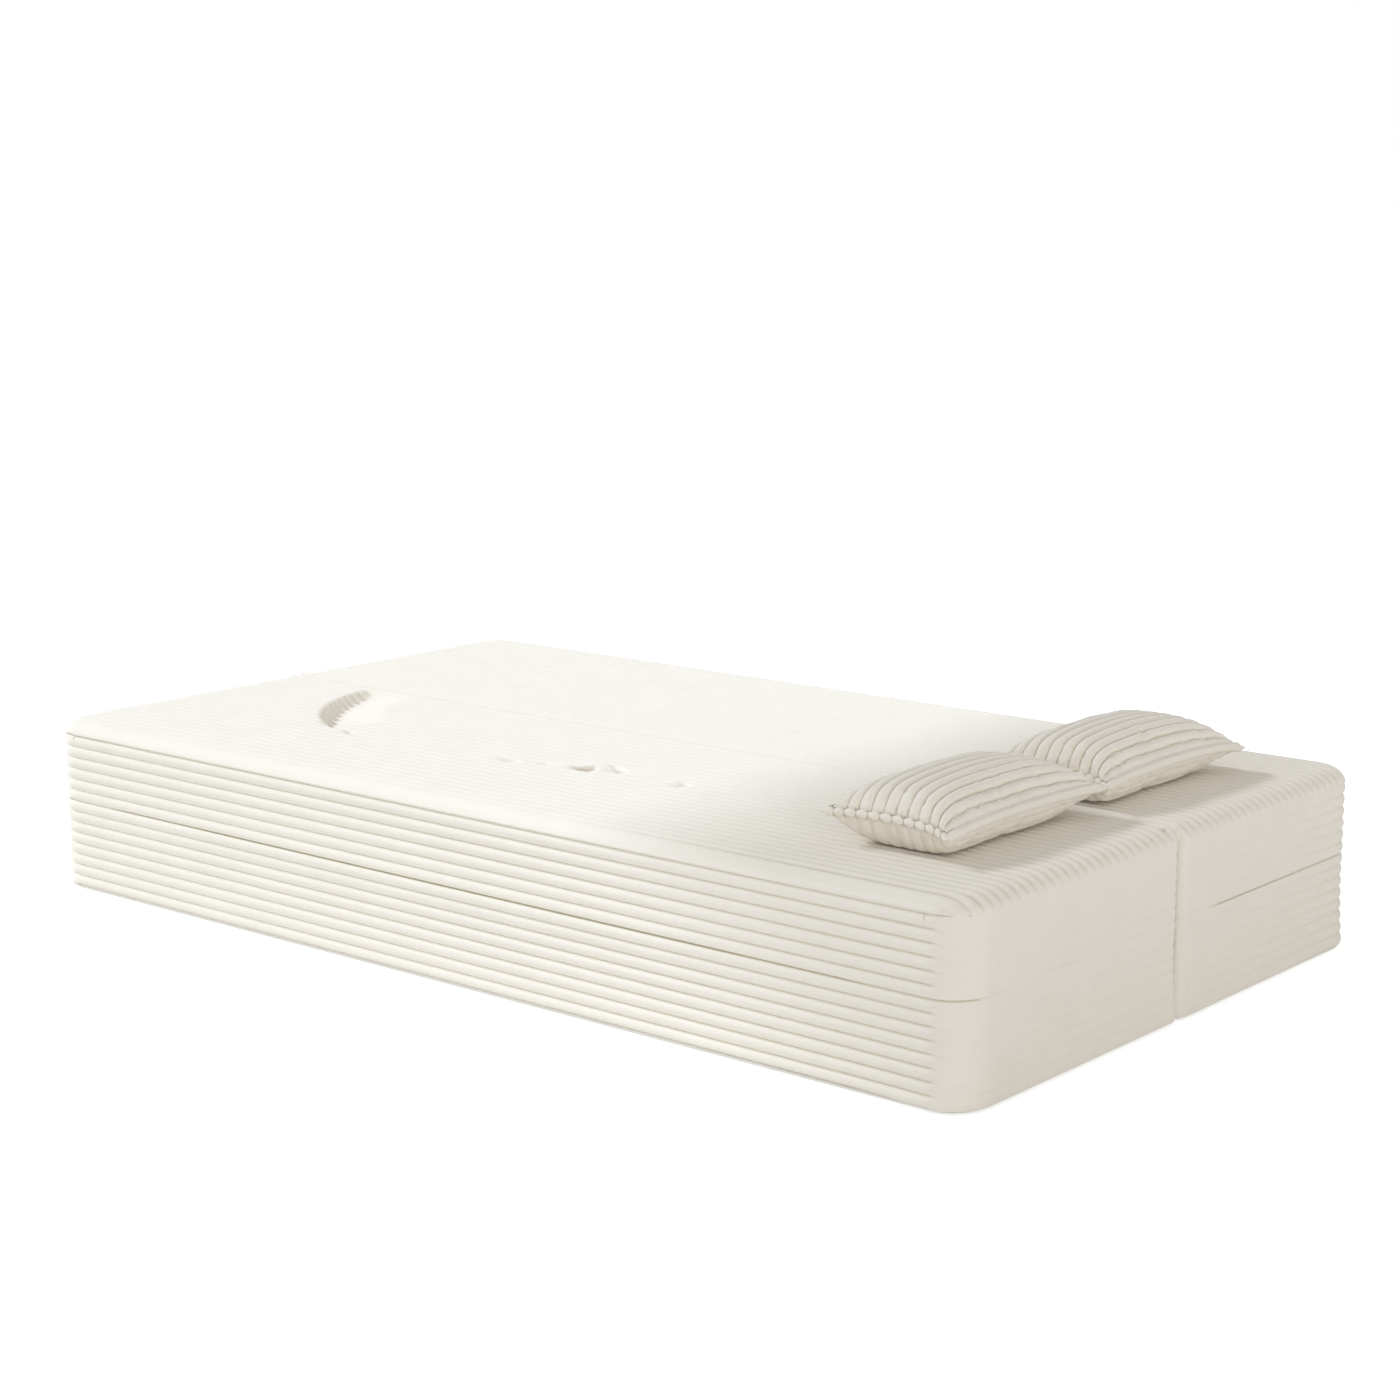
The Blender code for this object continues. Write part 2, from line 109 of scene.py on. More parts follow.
cushions = {}
for stack, side in STACK_SIDES.items():
    for layer in ("lower", "upper"):
        name = f"{stack}_{layer}"
        band_low, band_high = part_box(name + "_side_band")
        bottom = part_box(name + "_base_panel")[0].z
        top_low, top_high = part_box(name + "_top_panel")
        middle = (band_low.y + band_high.y) / 2
        cushions[name] = {
            "stack": stack, "layer": layer, "side": side, "middle": middle,
            "bottom": bottom, "rim": top_low.z, "top": top_high.z,
        }
half_length = band_high.x
half_width = (band_high.y - band_low.y) / 2
print(f"one stack: {2 * half_length:.3f} x {2 * half_width:.3f} m, top at {top_high.z:.4f} m")

# %% [markdown]
# ## Helpers for colours and nodes
# A colour is written as a hex code, as a designer would note it, and turned to the linear values that a shader
# needs. One function adds any node with its settings, constants and links, so that a material or a Geometry
# Nodes tree reads as a short list of nodes.


# %% Colour and node helpers
def linear(code):
    """Linear red, green, blue and alpha of an sRGB hex colour."""
    values = [int(code[i : i + 2], 16) / 255 for i in (1, 3, 5)]
    return (*[v / 12.92 if v <= 0.04045 else ((v + 0.055) / 1.055) ** 2.4 for v in values], 1)


def add_node(tree, kind, settings=None, values=None, links=None):
    """Adds one node: settings are its properties, values its sockets' constants, links what feeds its sockets."""
    node = tree.nodes.new(kind)
    for label, value in (settings or {}).items():
        setattr(node, label, value)
    for socket, value in (values or {}).items():
        node.inputs[socket].default_value = value
    for socket, source in (links or {}).items():
        tree.links.new(source, node.inputs[socket])
    return node


def new_material(name, roughness, **sockets):
    """A Principled material with constants on the shader's own sockets. Returns it, its tree and its shader."""
    material = bpy.data.materials.new(name)
    material.use_nodes = True
    shader = material.node_tree.nodes["Principled BSDF"]
    shader.inputs["Roughness"].default_value = roughness
    for socket, value in sockets.items():
        shader.inputs[socket.replace("_", " ")].default_value = value
    return material, material.node_tree, shader


# %% [markdown]
# ## Ribbed plush
# The cover is a polyester plush, knitted with a short pile over a wadding and quilted into wales about 20 mm
# wide. Its pile scatters light, so it has no gloss, a soft sheen at grazing angles, and a faint mottle where the
# pile lies another way. The ribs themselves are real geometry. The material reads how deep each point lies in a
# groove, a seam or a crease, from an attribute that the geometry stores, and paints shade there, darker and
# warmer, for the shade that falls in them. The pile's tufts are under 1 mm wide, too fine to show, so they are
# drawn 2.5 mm wide.

# %% Ribbed plush material
PILE_TUFT = 2.5 * MM
PILE_PATCH = 55 * MM
PILE_BUMP = 0.5 * MM
NAP_MOST = 0.5
# Sockets of a Map Range node: a groove from this depth to that, and the painted shade it gets at either.
GROOVE_PAINTED_SHADE = {1: 0.45, 2: 1.5, 3: 0.0, 4: 0.65}

plush, tree, shader = new_material(
    "ribbed_polyester_plush", 0.92, IOR=1.45, Specular_IOR_Level=0.15, Sheen_Weight=0.12, Sheen_Roughness=0.6
)
place = add_node(tree, "ShaderNodeTexCoord").outputs["Object"]
patches, tufts = (
    add_node(tree, "ShaderNodeTexNoise", None, {"Scale": 1 / size, "Detail": detail}, {"Vector": place}).outputs[0]
    for size, detail in ((PILE_PATCH, 3), (PILE_TUFT, 2))
)
groove = add_node(tree, "ShaderNodeAttribute", {"attribute_name": "groove"}).outputs["Fac"]
nap_amount = add_node(tree, "ShaderNodeMapRange", None, {3: 0.0, 4: NAP_MOST}, {"Value": tufts})
painted_shade_amount = add_node(tree, "ShaderNodeMapRange", None, GROOVE_PAINTED_SHADE, {"Value": groove})
mottle = add_node(
    tree, "ShaderNodeMix", {"data_type": "RGBA"}, {6: linear("#F3EDE1"), 7: linear("#F8F2E8")}, {0: patches}
)
nap = add_node(
    tree, "ShaderNodeMix", {"data_type": "RGBA", "blend_type": "MULTIPLY"}, {7: linear("#F3F0EA")},
    {0: nap_amount.outputs["Result"], 6: mottle.outputs[2]},
)
# Painted shade: the groove attribute darkens the cloth towards #C4B99C in grooves, seams and creases.
painted_shade_mix = add_node(
    tree, "ShaderNodeMix", {"data_type": "RGBA"}, {7: linear("#C4B99C")},
    {0: painted_shade_amount.outputs["Result"], 6: nap.outputs[2]},
)
bump = add_node(tree, "ShaderNodeBump", None, {"Strength": 0.5, "Distance": PILE_BUMP}, {"Height": tufts})
tree.links.new(painted_shade_mix.outputs[2], shader.inputs["Base Color"])
tree.links.new(bump.outputs["Normal"], shader.inputs["Normal"])
print("material:", plush.name)

# %% [markdown]
# ## The cloths inside and underneath
# The base is a woven polyester with small dots of PVC printed on it, which grip the floor. The hinge strip is a
# plain-woven cotton tape. The zip is a polyester tape with a nylon coil, and the pads are nylon. A weave is two
# waves at right angles: one runs along the warp and one along the weft, and each wave is about two threads long,
# one over and one under. Real threads are 0.3 mm apart, and they are drawn 1.2 mm apart, because finer ones
# would not show.

# %% Woven cloths
THREAD_PITCH = 1.2 * MM
THREAD_BUMP = 0.3 * MM


def woven_material(name, light, dark, plane, pitch=THREAD_PITCH, depth=THREAD_BUMP):
    """A plain weave in one plane ("XY", "YZ" or "XZ") of the object's own coordinates."""
    material, tree, shader = new_material(name, 0.88, IOR=1.5, Specular_IOR_Level=0.2)
    place = add_node(tree, "ShaderNodeTexCoord").outputs["Object"]
    scale = {"Scale": 1 / (pitch * math.tau), "Distortion": 0.6, "Detail": 1}
    warp, weft = (
        add_node(tree, "ShaderNodeTexWave", {"bands_direction": axis}, scale, {"Vector": place}).outputs["Fac"]
        for axis in plane
    )
    weave = add_node(tree, "ShaderNodeMath", {"operation": "MULTIPLY"}, links={0: warp, 1: weft}).outputs["Value"]
    tones = {6: linear(dark), 7: linear(light)}
    colour = add_node(tree, "ShaderNodeMix", {"data_type": "RGBA"}, tones, {0: weave})
    bump = add_node(tree, "ShaderNodeBump", None, {"Strength": 0.6, "Distance": depth}, {"Height": weave})
    tree.links.new(colour.outputs[2], shader.inputs["Base Color"])
    tree.links.new(bump.outputs["Normal"], shader.inputs["Normal"])
    return material


grip_cloth = woven_material("woven_grip_cloth", "#EFEADF", "#DFD9CB", "XY")
hinge_cloth = woven_material("woven_cotton_hinge_tape", "#CFC8AE", "#B7AE92", "XY")
zip_cloth = woven_material("woven_polyester_zip_tape", "#F1EDE2", "#DCD6C7", "YZ")
pad_cloth = woven_material("woven_nylon_pad", "#EFEBE0", "#DDD7C9", "XZ")
print("materials:", ", ".join(m.name for m in (grip_cloth, hinge_cloth, zip_cloth, pad_cloth)))

# %% [markdown]
# ## Plastics, metal and filling
# The dots are soft PVC, the coil and the hooks are nylon monofilament, and the slider is a zinc casting with a
# brushed nickel plating. The cores are open-cell polyurethane foam, whose cells show as small pits, and the
# pillows are filled with crimped polyester fibre. All of them are one recipe: a noise or a cell pattern at the
# size of the real grain, which moves the colour between two tones and gives a small bump.


# %% Grained materials
def grained_material(
    name, light, dark, grain, depth, roughness, texture="ShaderNodeTexNoise", stretch=(1, 1, 1), **sockets
):
    """A material whose grain moves its colour between two tones and raises a small bump."""
    material, tree, shader = new_material(name, roughness, **sockets)
    place = add_node(tree, "ShaderNodeTexCoord").outputs["Object"]
    mapped = add_node(tree, "ShaderNodeMapping", None, {"Scale": stretch}, {"Vector": place})
    pattern = add_node(tree, texture, None, {"Scale": 1 / grain}, {"Vector": mapped.outputs["Vector"]})
    height = pattern.outputs["Distance" if texture == "ShaderNodeTexVoronoi" else "Fac"]
    tones = {6: linear(dark), 7: linear(light)}
    colour = add_node(tree, "ShaderNodeMix", {"data_type": "RGBA"}, tones, {0: height})
    bump = add_node(tree, "ShaderNodeBump", None, {"Strength": 0.5, "Distance": depth}, {"Height": height})
    tree.links.new(colour.outputs[2], shader.inputs["Base Color"])
    tree.links.new(bump.outputs["Normal"], shader.inputs["Normal"])
    return material


pvc = grained_material("moulded_pvc_dots", "#E6E2D8", "#D6D1C4", 1.5 * MM, 0.05 * MM, 0.45, IOR=1.53)
nylon = grained_material("extruded_nylon_coil", "#F4F1E8", "#E2DDD0", 1 * MM, 0.03 * MM, 0.4, IOR=1.53)
thread = grained_material("spun_polyester_thread", "#F3EFE3", "#DAD3C2", 0.6 * MM, 0.1 * MM, 0.75, IOR=1.5)
foam = grained_material(
    "open_cell_polyurethane_foam", "#F5EAC2", "#E2D29C", 1.6 * MM, 0.6 * MM, 0.95, "ShaderNodeTexVoronoi",
    Specular_IOR_Level=0.1,
)
fibre = grained_material(
    "crimped_polyester_fibre", "#FBFBF8", "#E9E9E4", 2 * MM, 0.8 * MM, 0.95, stretch=(0.25, 1, 1),
    Sheen_Weight=0.2,
)
nickel = grained_material(
    "brushed_nickel_plating", "#CFCCC6", "#B9B5AE", 0.8 * MM, 0.02 * MM, 0.32, stretch=(1, 0.1, 1), Metallic=1.0,
)
print("materials:", ", ".join(m.name for m in (pvc, nylon, thread, foam, fibre, nickel)))

# %% [markdown]
# ## Grids, and how a grid becomes a piece
# Every cover panel is a grid of points: rows across the ribs and columns along them. NumPy works out a whole
# grid at once, where a loop over vertices in Python would be slow. A grid carries four attributes for the ribs:
# where a point lies among the ribs, how strongly they show there, whether a seam presses it down, and which way
# is out. The direction is stored, and not read from the mesh's normals, because at the edge of a closed panel a
# normal would point half sideways.


# %% Grid helpers
def smooth_step(low, high, value):
    """0 below low, 1 above high, and a smooth rise between them."""
    share = np.clip((value - low) / (high - low), 0, 1)
    return share * share * (3 - 2 * share)


def grid_numbers(row_count, column_count, first=0):
    """A grid of point numbers that counts along its rows."""
    return first + np.arange(row_count * column_count).reshape(row_count, column_count)


def grid_faces(numbers):
    """Quads between neighbours in a grid of point numbers."""
    low, high = numbers[:-1], numbers[1:]
    return np.stack((low[:, :-1], low[:, 1:], high[:, 1:], high[:, :-1]), axis=-1).reshape(-1, 4).tolist()


def closed_ring(numbers, axis):
    """A grid of point numbers that comes back to its first row or column."""
    return np.concatenate((numbers, numbers.take([0], axis)), axis)


def grid_border(numbers):
    """The numbers round a grid's border, in order."""
    return [*numbers[0], *numbers[1:, -1], *numbers[-1, -2::-1], *numbers[-2:0:-1, 0]]


def shell_faces(outer, inner, rows, columns):
    """Faces of a closed shell: an outer grid, an inner one at a choice of its rows and columns, and the rim."""
    faces = grid_faces(outer) + grid_faces(inner[:, ::-1])
    outer_ring = grid_border(outer)
    inner_ring = grid_border(inner)
    posts = [outer_ring.index(number) for number in grid_border(outer[np.ix_(rows, columns)])]
    outer_ring.append(outer_ring[0])
    for k, (start, end) in enumerate(zip(posts, [*posts[1:], len(outer_ring) - 1])):
        after = inner_ring[(k + 1) % len(inner_ring)]
        faces.append([*outer_ring[start : end + 1][::-1], inner_ring[k], after])
    return faces


def grid_outward(points):
    """Unit directions out of a grid's surface."""
    outward = np.cross(np.gradient(points, axis=1), np.gradient(points, axis=0))
    return outward / np.maximum(np.linalg.norm(outward, axis=2, keepdims=True), 1e-12)


def new_mesh(name, points, faces, attributes=None):
    """A smooth mesh from points and faces, with float or vector attributes on its points."""
    mesh = bpy.data.meshes.new(name)
    mesh.from_pydata(np.reshape(points, (-1, 3)).tolist(), [], [list(map(int, face)) for face in faces])
    for label, values in (attributes or {}).items():
        kind, key, width = ("FLOAT_VECTOR", "vector", 3) if np.ndim(values) > 1 else ("FLOAT", "value", 1)
        data = np.zeros((len(mesh.vertices), width), np.float32)
        data[: len(values)] = np.reshape(values, (-1, width))
        mesh.attributes.new(label, kind, "POINT").data.foreach_set(key, data.ravel())
    mesh.shade_smooth()
    return mesh


def new_object(name, mesh, material=None):
    """Links a mesh as an object at the origin."""
    made = bpy.data.objects.new(name, mesh)
    if material is not None:
        mesh.materials.append(material)
    bpy.context.scene.collection.objects.link(made)
    return made


def dress(piece, body, nodes=()):
    """Lets a finished piece ride on its body and hides the plain pieces that it stands for."""
    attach(piece, body)
    if nodes:
        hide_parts(*nodes)
    return piece


# %% [markdown]
# ## Geometry Nodes: one way to run every tree
# A tree takes a plain mesh, adds what repeats, and is turned back into a plain mesh, because instances and live
# modifiers would be lost on export. The inputs are set by the sockets' identifiers before the object is first
# evaluated. A tree's named inputs are its sizes, so one tree serves every panel.


# %% Tree helpers
WORKING_ATTRIBUTES = ("rib_place", "rib_fade", "seam", "outward", "turn")


def new_tree(name, inputs):
    """A Geometry Nodes tree with the named inputs and their defaults. Returns it and its input's sockets."""
    kinds = {float: "NodeSocketFloat", int: "NodeSocketInt", type(None): "NodeSocketMaterial"}
    tree = bpy.data.node_groups.new(name, "GeometryNodeTree")
    tree.interface.new_socket("Geometry", in_out="INPUT", socket_type="NodeSocketGeometry")
    for label, value in inputs.items():
        socket = tree.interface.new_socket(label, in_out="INPUT", socket_type=kinds[type(value)])
        if value is not None:
            socket.default_value = value
    tree.interface.new_socket("Geometry", in_out="OUTPUT", socket_type="NodeSocketGeometry")
    return tree, add_node(tree, "NodeGroupInput").outputs


def end_tree(tree, geometry, material):
    """Ends a tree in Realize Instances and Set Material."""
    real = add_node(tree, "GeometryNodeRealizeInstances", links={0: geometry})
    painted = add_node(tree, "GeometryNodeSetMaterial", links={"Geometry": real.outputs[0], "Material": material})
    add_node(tree, "NodeGroupOutput", links={0: painted.outputs[0]})


def grow(name, mesh, tree, **inputs):
    """Runs a tree on a mesh and returns the result as a plain object. Input names have _ for spaces."""
    source = new_object(name + "_source", mesh)
    modifier = source.modifiers.new("grow", "NODES")
    modifier.node_group = tree
    for item in tree.interface.items_tree:
        value = inputs.get(item.name.replace(" ", "_"))
        if item.in_out == "INPUT" and value is not None:
            modifier[item.identifier] = value
    evaluated = source.evaluated_get(bpy.context.evaluated_depsgraph_get())
    result = bpy.data.meshes.new_from_object(evaluated)
    result.name = name
    for label in WORKING_ATTRIBUTES:
        if label in result.attributes:
            result.attributes.remove(result.attributes[label])
    bpy.data.objects.remove(source)
    return new_object(name, result)


# %% [markdown]
# ## The ribs
# A rib is a round-backed tube of wadding between two sewn lines. Across one rib, the share of the depth that a
# point keeps is (1 - |place| ** crest width) ** crest roundness, with the place from -1 to 1. With 2 and 1 the
# back is a parabola, as on the cushions. A smaller roundness makes it fuller and the sewn lines sharper, as on
# the stuffed pillows. The tree reads where a point lies among the ribs, works out that curve in a short chain of
# Math nodes, and sinks the point along its stored direction. The chain is a table of steps, where a text names
# an earlier step or an input. A slow noise makes the ribs a little uneven, as stuffed ones are. Displacing a
# grid in a tree, and not in a modifier with a texture, lets one set of named sizes drive every panel.

# %% The rib tree
rib_tree, given = new_tree(
    "ribbed_cover",
    {"Rib depth": RIB_DEPTH, "Crest width": 2.0, "Crest roundness": 1.0, "Unevenness": 0.8 * MM,
     "Unevenness size": 90 * MM, "Seed": 0, "Material": None},
)
steps = {label: given[label] for label in ("Rib depth", "Crest width", "Crest roundness", "Unevenness")}
for label, kind in (("rib_place", "FLOAT"), ("rib_fade", "FLOAT"), ("seam", "FLOAT"), ("outward", "FLOAT_VECTOR")):
    stored = add_node(rib_tree, "GeometryNodeInputNamedAttribute", {"data_type": kind}, {"Name": label})
    steps[label] = stored.outputs["Attribute"]
noise_scale = add_node(
    rib_tree, "ShaderNodeMath", {"operation": "DIVIDE"}, {0: 1}, {1: given["Unevenness size"]}
)
steps["noise"] = add_node(
    rib_tree, "ShaderNodeTexNoise", {"noise_dimensions": "4D"}, {"Detail": 2},
    {"W": given["Seed"], "Scale": noise_scale.outputs[0]},
).outputs["Fac"]
for label, operation, *terms in (
    ("phase", "FRACT", "rib_place"),
    ("centred", "MULTIPLY_ADD", "phase", 2, -1),
    ("off crest", "ABSOLUTE", "centred"),
    ("widened", "POWER", "off crest", "Crest width"),
    ("under", "SUBTRACT", 1, "widened"),
    ("crest", "POWER", "under", "Crest roundness"),
    ("sunk", "SUBTRACT", 1, "crest"),
    ("faded", "MULTIPLY", "sunk", "rib_fade"),
    ("groove", "MAXIMUM", "faded", "seam"),
    ("sink", "MULTIPLY", "groove", "Rib depth"),
    ("wave", "MULTIPLY", "noise", "Unevenness"),
    ("depth", "ADD", "sink", "wave"),
    ("inward", "MULTIPLY", "depth", -1),
):
    values = {k: term for k, term in enumerate(terms) if term not in steps}
    links = {k: steps[term] for k, term in enumerate(terms) if term in steps}
    steps[label] = add_node(rib_tree, "ShaderNodeMath", {"operation": operation}, values, links).outputs[0]
offset = add_node(
    rib_tree, "ShaderNodeVectorMath", {"operation": "SCALE"}, links={0: steps["outward"], "Scale": steps["inward"]}
)
# The groove's depth is stored for the plush material, which paints shade by it.
marked = add_node(
    rib_tree, "GeometryNodeStoreNamedAttribute", {"data_type": "FLOAT", "domain": "POINT"}, {"Name": "groove"},
    {"Geometry": given["Geometry"], "Value": steps["groove"]},
)
moved = add_node(
    rib_tree, "GeometryNodeSetPosition", links={"Geometry": marked.outputs[0], "Offset": offset.outputs[0]}
)
end_tree(rib_tree, moved.outputs[0], given["Material"])
print("tree:", rib_tree.name, "with", len(rib_tree.nodes), "nodes")

# %% [markdown]
# ## Where the columns and rows go
# A rib needs most points where it turns steeply, at its grooves, and few on its flat back. The same ten places
# serve every rib. Along a straight rib a point every 16 mm is enough, and the rounded corners and rolled edges
# get a point about every 5 mm.

# %% Places across and along the ribs
RIB_PLACES = np.array((0, 0.025, 0.08, 0.18, 0.33, 0.5, 0.67, 0.82, 0.92, 0.975))
CORNER_STEPS = 18
ROLL_STEPS = 12
SHARP_ANGLE = math.radians(50)
STRAIGHT_X = half_length - CORNER_RADIUS


def rib_rows(rib_count):
    """Places across a panel in numbers of ribs, from 0 to rib_count."""
    rows = (np.arange(rib_count)[:, None] + RIB_PLACES).ravel()
    return np.append(rows, rib_count)


def plan_radius(y, side):
    """Radius of the plan corners: wide on the outer side of a stack, tight where the stacks meet."""
    return np.where(np.asarray(y) * side > 0, CORNER_RADIUS, INNER_CORNER_RADIUS)


def outline_depth(x, y, side):
    """Distance inward from the stack's outline, and how far the direction outward lies along Y."""
    radius = plan_radius(y, side)
    over_x = np.abs(x) - half_length + radius
    over_y = np.abs(y) - half_width + radius
    reach = np.maximum(np.hypot(over_x, over_y), 1e-9)
    in_corner = (over_x > 0) & (over_y > 0)
    depth = np.where(in_corner, radius - reach, np.minimum(half_length - np.abs(x), half_width - np.abs(y)))
    out_y = np.where(in_corner, over_y / reach, half_width - np.abs(y) <= half_length - np.abs(x)) * np.sign(y)
    return depth, out_y


def rolled_arc(roll, drop):
    """Arc lengths along a rolled edge, and the distance inward at each."""
    angles = np.linspace(0, math.pi / 2, 60)
    inward = roll * (1 - np.cos(angles))
    steps = np.hypot(np.diff(inward), np.diff(drop * np.sin(angles)))
    return np.concatenate(((0,), np.cumsum(steps))), inward


def panel_grid(rows, side, inset, rolls, drop, places):
    """Places of a panel's grid in the stack, how far each has come round the rolled edge, and how far it faces
    the outer long side. Rows are rib numbers, spread evenly along the curved surface."""
    outer_arcs, outer_inward = rolled_arc(rolls[0], drop)
    inner_arcs, inner_inward = rolled_arc(rolls[1], drop)
    width = 2 * (half_width - inset)
    arcs = np.concatenate((outer_arcs, outer_arcs[-1] + width - sum(rolls) + inner_arcs[-1] - inner_arcs[::-1]))
    inward = np.concatenate((outer_inward, width - inner_inward[::-1]))
    across = side * (width / 2 - np.interp(rows / rows.max() * arcs[-1], arcs, inward))[:, None]
    radius = plan_radius(across, side)
    past = np.maximum(0, np.abs(across) - half_width + radius)
    end = half_length - radius + np.sqrt(np.maximum(0, (radius - inset) ** 2 - past**2))
    edge = rolls[0] * (1 - np.cos(np.linspace(0, math.pi / 2, ROLL_STEPS + 1)))
    edge = np.append(edge, np.linspace(rolls[0], CORNER_RADIUS, 4)[1:])
    x = np.concatenate((edge - end, places / STRAIGHT_X * (end - CORNER_RADIUS), end - edge[::-1]), axis=1)
    y = np.broadcast_to(across, x.shape)
    depth, out_y = outline_depth(x, y, side)
    roll = rolls[0] + (rolls[1] - rolls[0]) * np.maximum(0, -side * out_y) ** 2
    cosine = np.clip(1 - (depth - inset) / roll, 0, 1)
    return x, y, np.sqrt(1 - cosine**2), side * out_y


def even_columns(step):
    """Columns along the straight part of a stack, about a step apart."""
    count = round(2 * STRAIGHT_X / step)
    return np.linspace(-STRAIGHT_X, STRAIGHT_X, count + 1)[1:-1]


print("a rib has", len(RIB_PLACES), "places across it")

# %% [markdown]
# ## The pressed hollow
# The front panel keeps the hollow that somebody pressed in it: a step that curves round the foot end of the
# hollow, where the rib ends stand over it like a row of fingers, and a floor that rises slowly to the head end.
# The step is deepest at its near end and runs out where the stacks meet. Both are one depth below the panel, so
# the same function also shapes the foam underneath. A row of small puckers lies on the near side of the hollow.
# A pucker is a short crease: the cloth drops to one side of it and rises again slowly, and the line itself is
# sharp.

# %% The hollow's depth
HOLLOW_CENTRE = (-0.395, 0.018)
HOLLOW_RADIUS = 0.368
HOLLOW_DEPTH = 29 * MM
HOLLOW_STEP = 26 * MM
HOLLOW_RAMP = 130 * MM
HOLLOW_TURN = np.radians((176, 182, 190, 207, 222, 232, 238, 246))
HOLLOW_SHARE = (0, 0.3, 0.52, 0.72, 0.88, 1, 0.8, 0)
HOLLOW_RIM = (-44 * MM, -13 * MM)
RIB_OVERHANG = 8 * MM
PUCKERS = (
    (-0.585, -0.273, -0.538, -0.299, 5 * MM), (-0.505, -0.307, -0.471, -0.322, 3 * MM),
    (-0.147, -0.299, -0.093, -0.303, 3 * MM), (-0.069, -0.283, -0.035, -0.286, 2 * MM),
    (0.000, -0.278, 0.040, -0.257, 10 * MM), (0.045, -0.224, 0.098, -0.251, 7 * MM),
    (0.217, -0.252, 0.244, -0.266, 6 * MM),
)
PUCKER_WALL = 8 * MM
PUCKER_RUN = 34 * MM
CREASE_WIDTH = 4 * MM
CREASE = 1.4


def pucker_lines(x, y):
    """For each pucker its depth, how strong it is along its line, and the distance past the line."""
    for x1, y1, x2, y2, depth in PUCKERS:
        length = math.hypot(x2 - x1, y2 - y1)
        along = ((x - x1) * (x2 - x1) + (y - y1) * (y2 - y1)) / length**2
        past = ((x - x1) * (y2 - y1) - (y - y1) * (x2 - x1)) / length
        share = smooth_step(-0.2, 0.8, along) * (1 - smooth_step(0.85, 1.15, along))
        yield depth, share, past


def hollow_depth(x, y, rib):
    """Depth of the pressed hollow and its puckers below the panel, at places on the bed."""
    over_x = x - HOLLOW_CENTRE[0]
    over_y = y - HOLLOW_CENTRE[1]
    angle = np.arctan2(over_y, over_x) % math.tau
    crest = 1 - (2 * (rib % 1) - 1) ** 2
    inside = HOLLOW_RADIUS - np.hypot(over_x, over_y) - RIB_OVERHANG * crest
    extent = np.interp(angle, HOLLOW_TURN, HOLLOW_SHARE) * (1 - smooth_step(*HOLLOW_RIM, y))
    ramp = 1 - smooth_step(HOLLOW_STEP, HOLLOW_RAMP, inside)
    depth = HOLLOW_DEPTH * extent * ramp * smooth_step(0, HOLLOW_STEP, inside)
    for pucker_depth, share, past in pucker_lines(x, y):
        wall = smooth_step(-PUCKER_WALL, 0, past) * (1 - smooth_step(0, PUCKER_RUN, past))
        depth = np.maximum(depth, pucker_depth * share * wall)
    return depth


def crease_share(x, y):
    """How deep places on the bed lie in the sharp line of a pucker."""
    creases = [share * np.exp(-((past / CREASE_WIDTH) ** 2)) for _, share, past in pucker_lines(x, y)]
    return CREASE * np.max(creases, axis=0)


print("hollow:", round(HOLLOW_DEPTH / MM), "mm deep, with", len(PUCKERS), "puckers")

# %% [markdown]
# ## Ribbed panels
# The upper cushion's top panel is the face of the bed. Its ribs run lengthwise and roll over the outer long edge
# and both ends, down to the seam with the side band. Along the inner edge, where the stacks meet, the roll is
# tight. The section of a rolled edge is a quarter of an ellipse, and the ribs are spaced evenly along the curved
# surface and not in plan, because the cloth keeps its width as it turns over the edge. The cover is stretched
# over the ends, where the ribs fade, most on the front stack. The lower cushion's top and the upper cushion's
# underside are plainer panels of the same cloth, which are lying surfaces once the bed is folded open. The strip
# of hinge cloth is sewn flat on them, so they are pressed down under it. Each panel is a closed shell: the
# ribbed face, and a plain back with a point at every rib line only.

# %% Panels of ribbed plush
HOLLOW_STRETCHES = ((-0.80, -0.45, 4 * MM), (-0.45, -0.02, 8 * MM), (-0.02, 0.26, 4 * MM))
COLUMN_GAP = 3 * MM
FACE_COLUMNS = even_columns(16 * MM)
HOLLOW_COLUMNS = np.concatenate([np.arange(start, end, step) for start, end, step in HOLLOW_STRETCHES])
calm = (FACE_COLUMNS < HOLLOW_COLUMNS[0] - COLUMN_GAP) | (FACE_COLUMNS > HOLLOW_COLUMNS[-1] + COLUMN_GAP)
HOLLOW_COLUMNS = np.sort(np.concatenate((FACE_COLUMNS[calm], HOLLOW_COLUMNS)))
PLAIN_COLUMNS = even_columns(32 * MM)
PANEL_THICKNESS = 8.5 * MM
BACK_COLUMN_STEP = 4
SEAM_REACH = 4 * MM
END_FADE = 0.35
OUTER_FADE = 0.85
INNER_FADE = 1.0
LID_SEAM = 0.9
END_SEAM = 0.05
# Ribs grow deeper towards the head end, and their painted groove shade grows with them.
HEAD_GATHER = ((0.25, 0.5, 0.72), (0.55, 1.2, 1.5))
INNER_PUFF = 1.5 * MM
JOINT_REACH = 21 * MM
END_RIBS = {-1: (0.3, 0.3), 1: (0.12, 0.8)}
HINGE_REACH = 25 * MM
HINGE_HALF_LENGTH = 0.9
HINGE_PRESS = 1.4 * MM
HINGE_PRESS_EDGE = 3 * MM
FACE_ROLLS = {"inset": 0, "rolls": (RIM_ROLL, INNER_RIM_ROLL)}
PLAIN_ROLLS = {"inset": 9 * MM, "rolls": (8 * MM, 8 * MM)}
PLAIN_DROP = 8 * MM


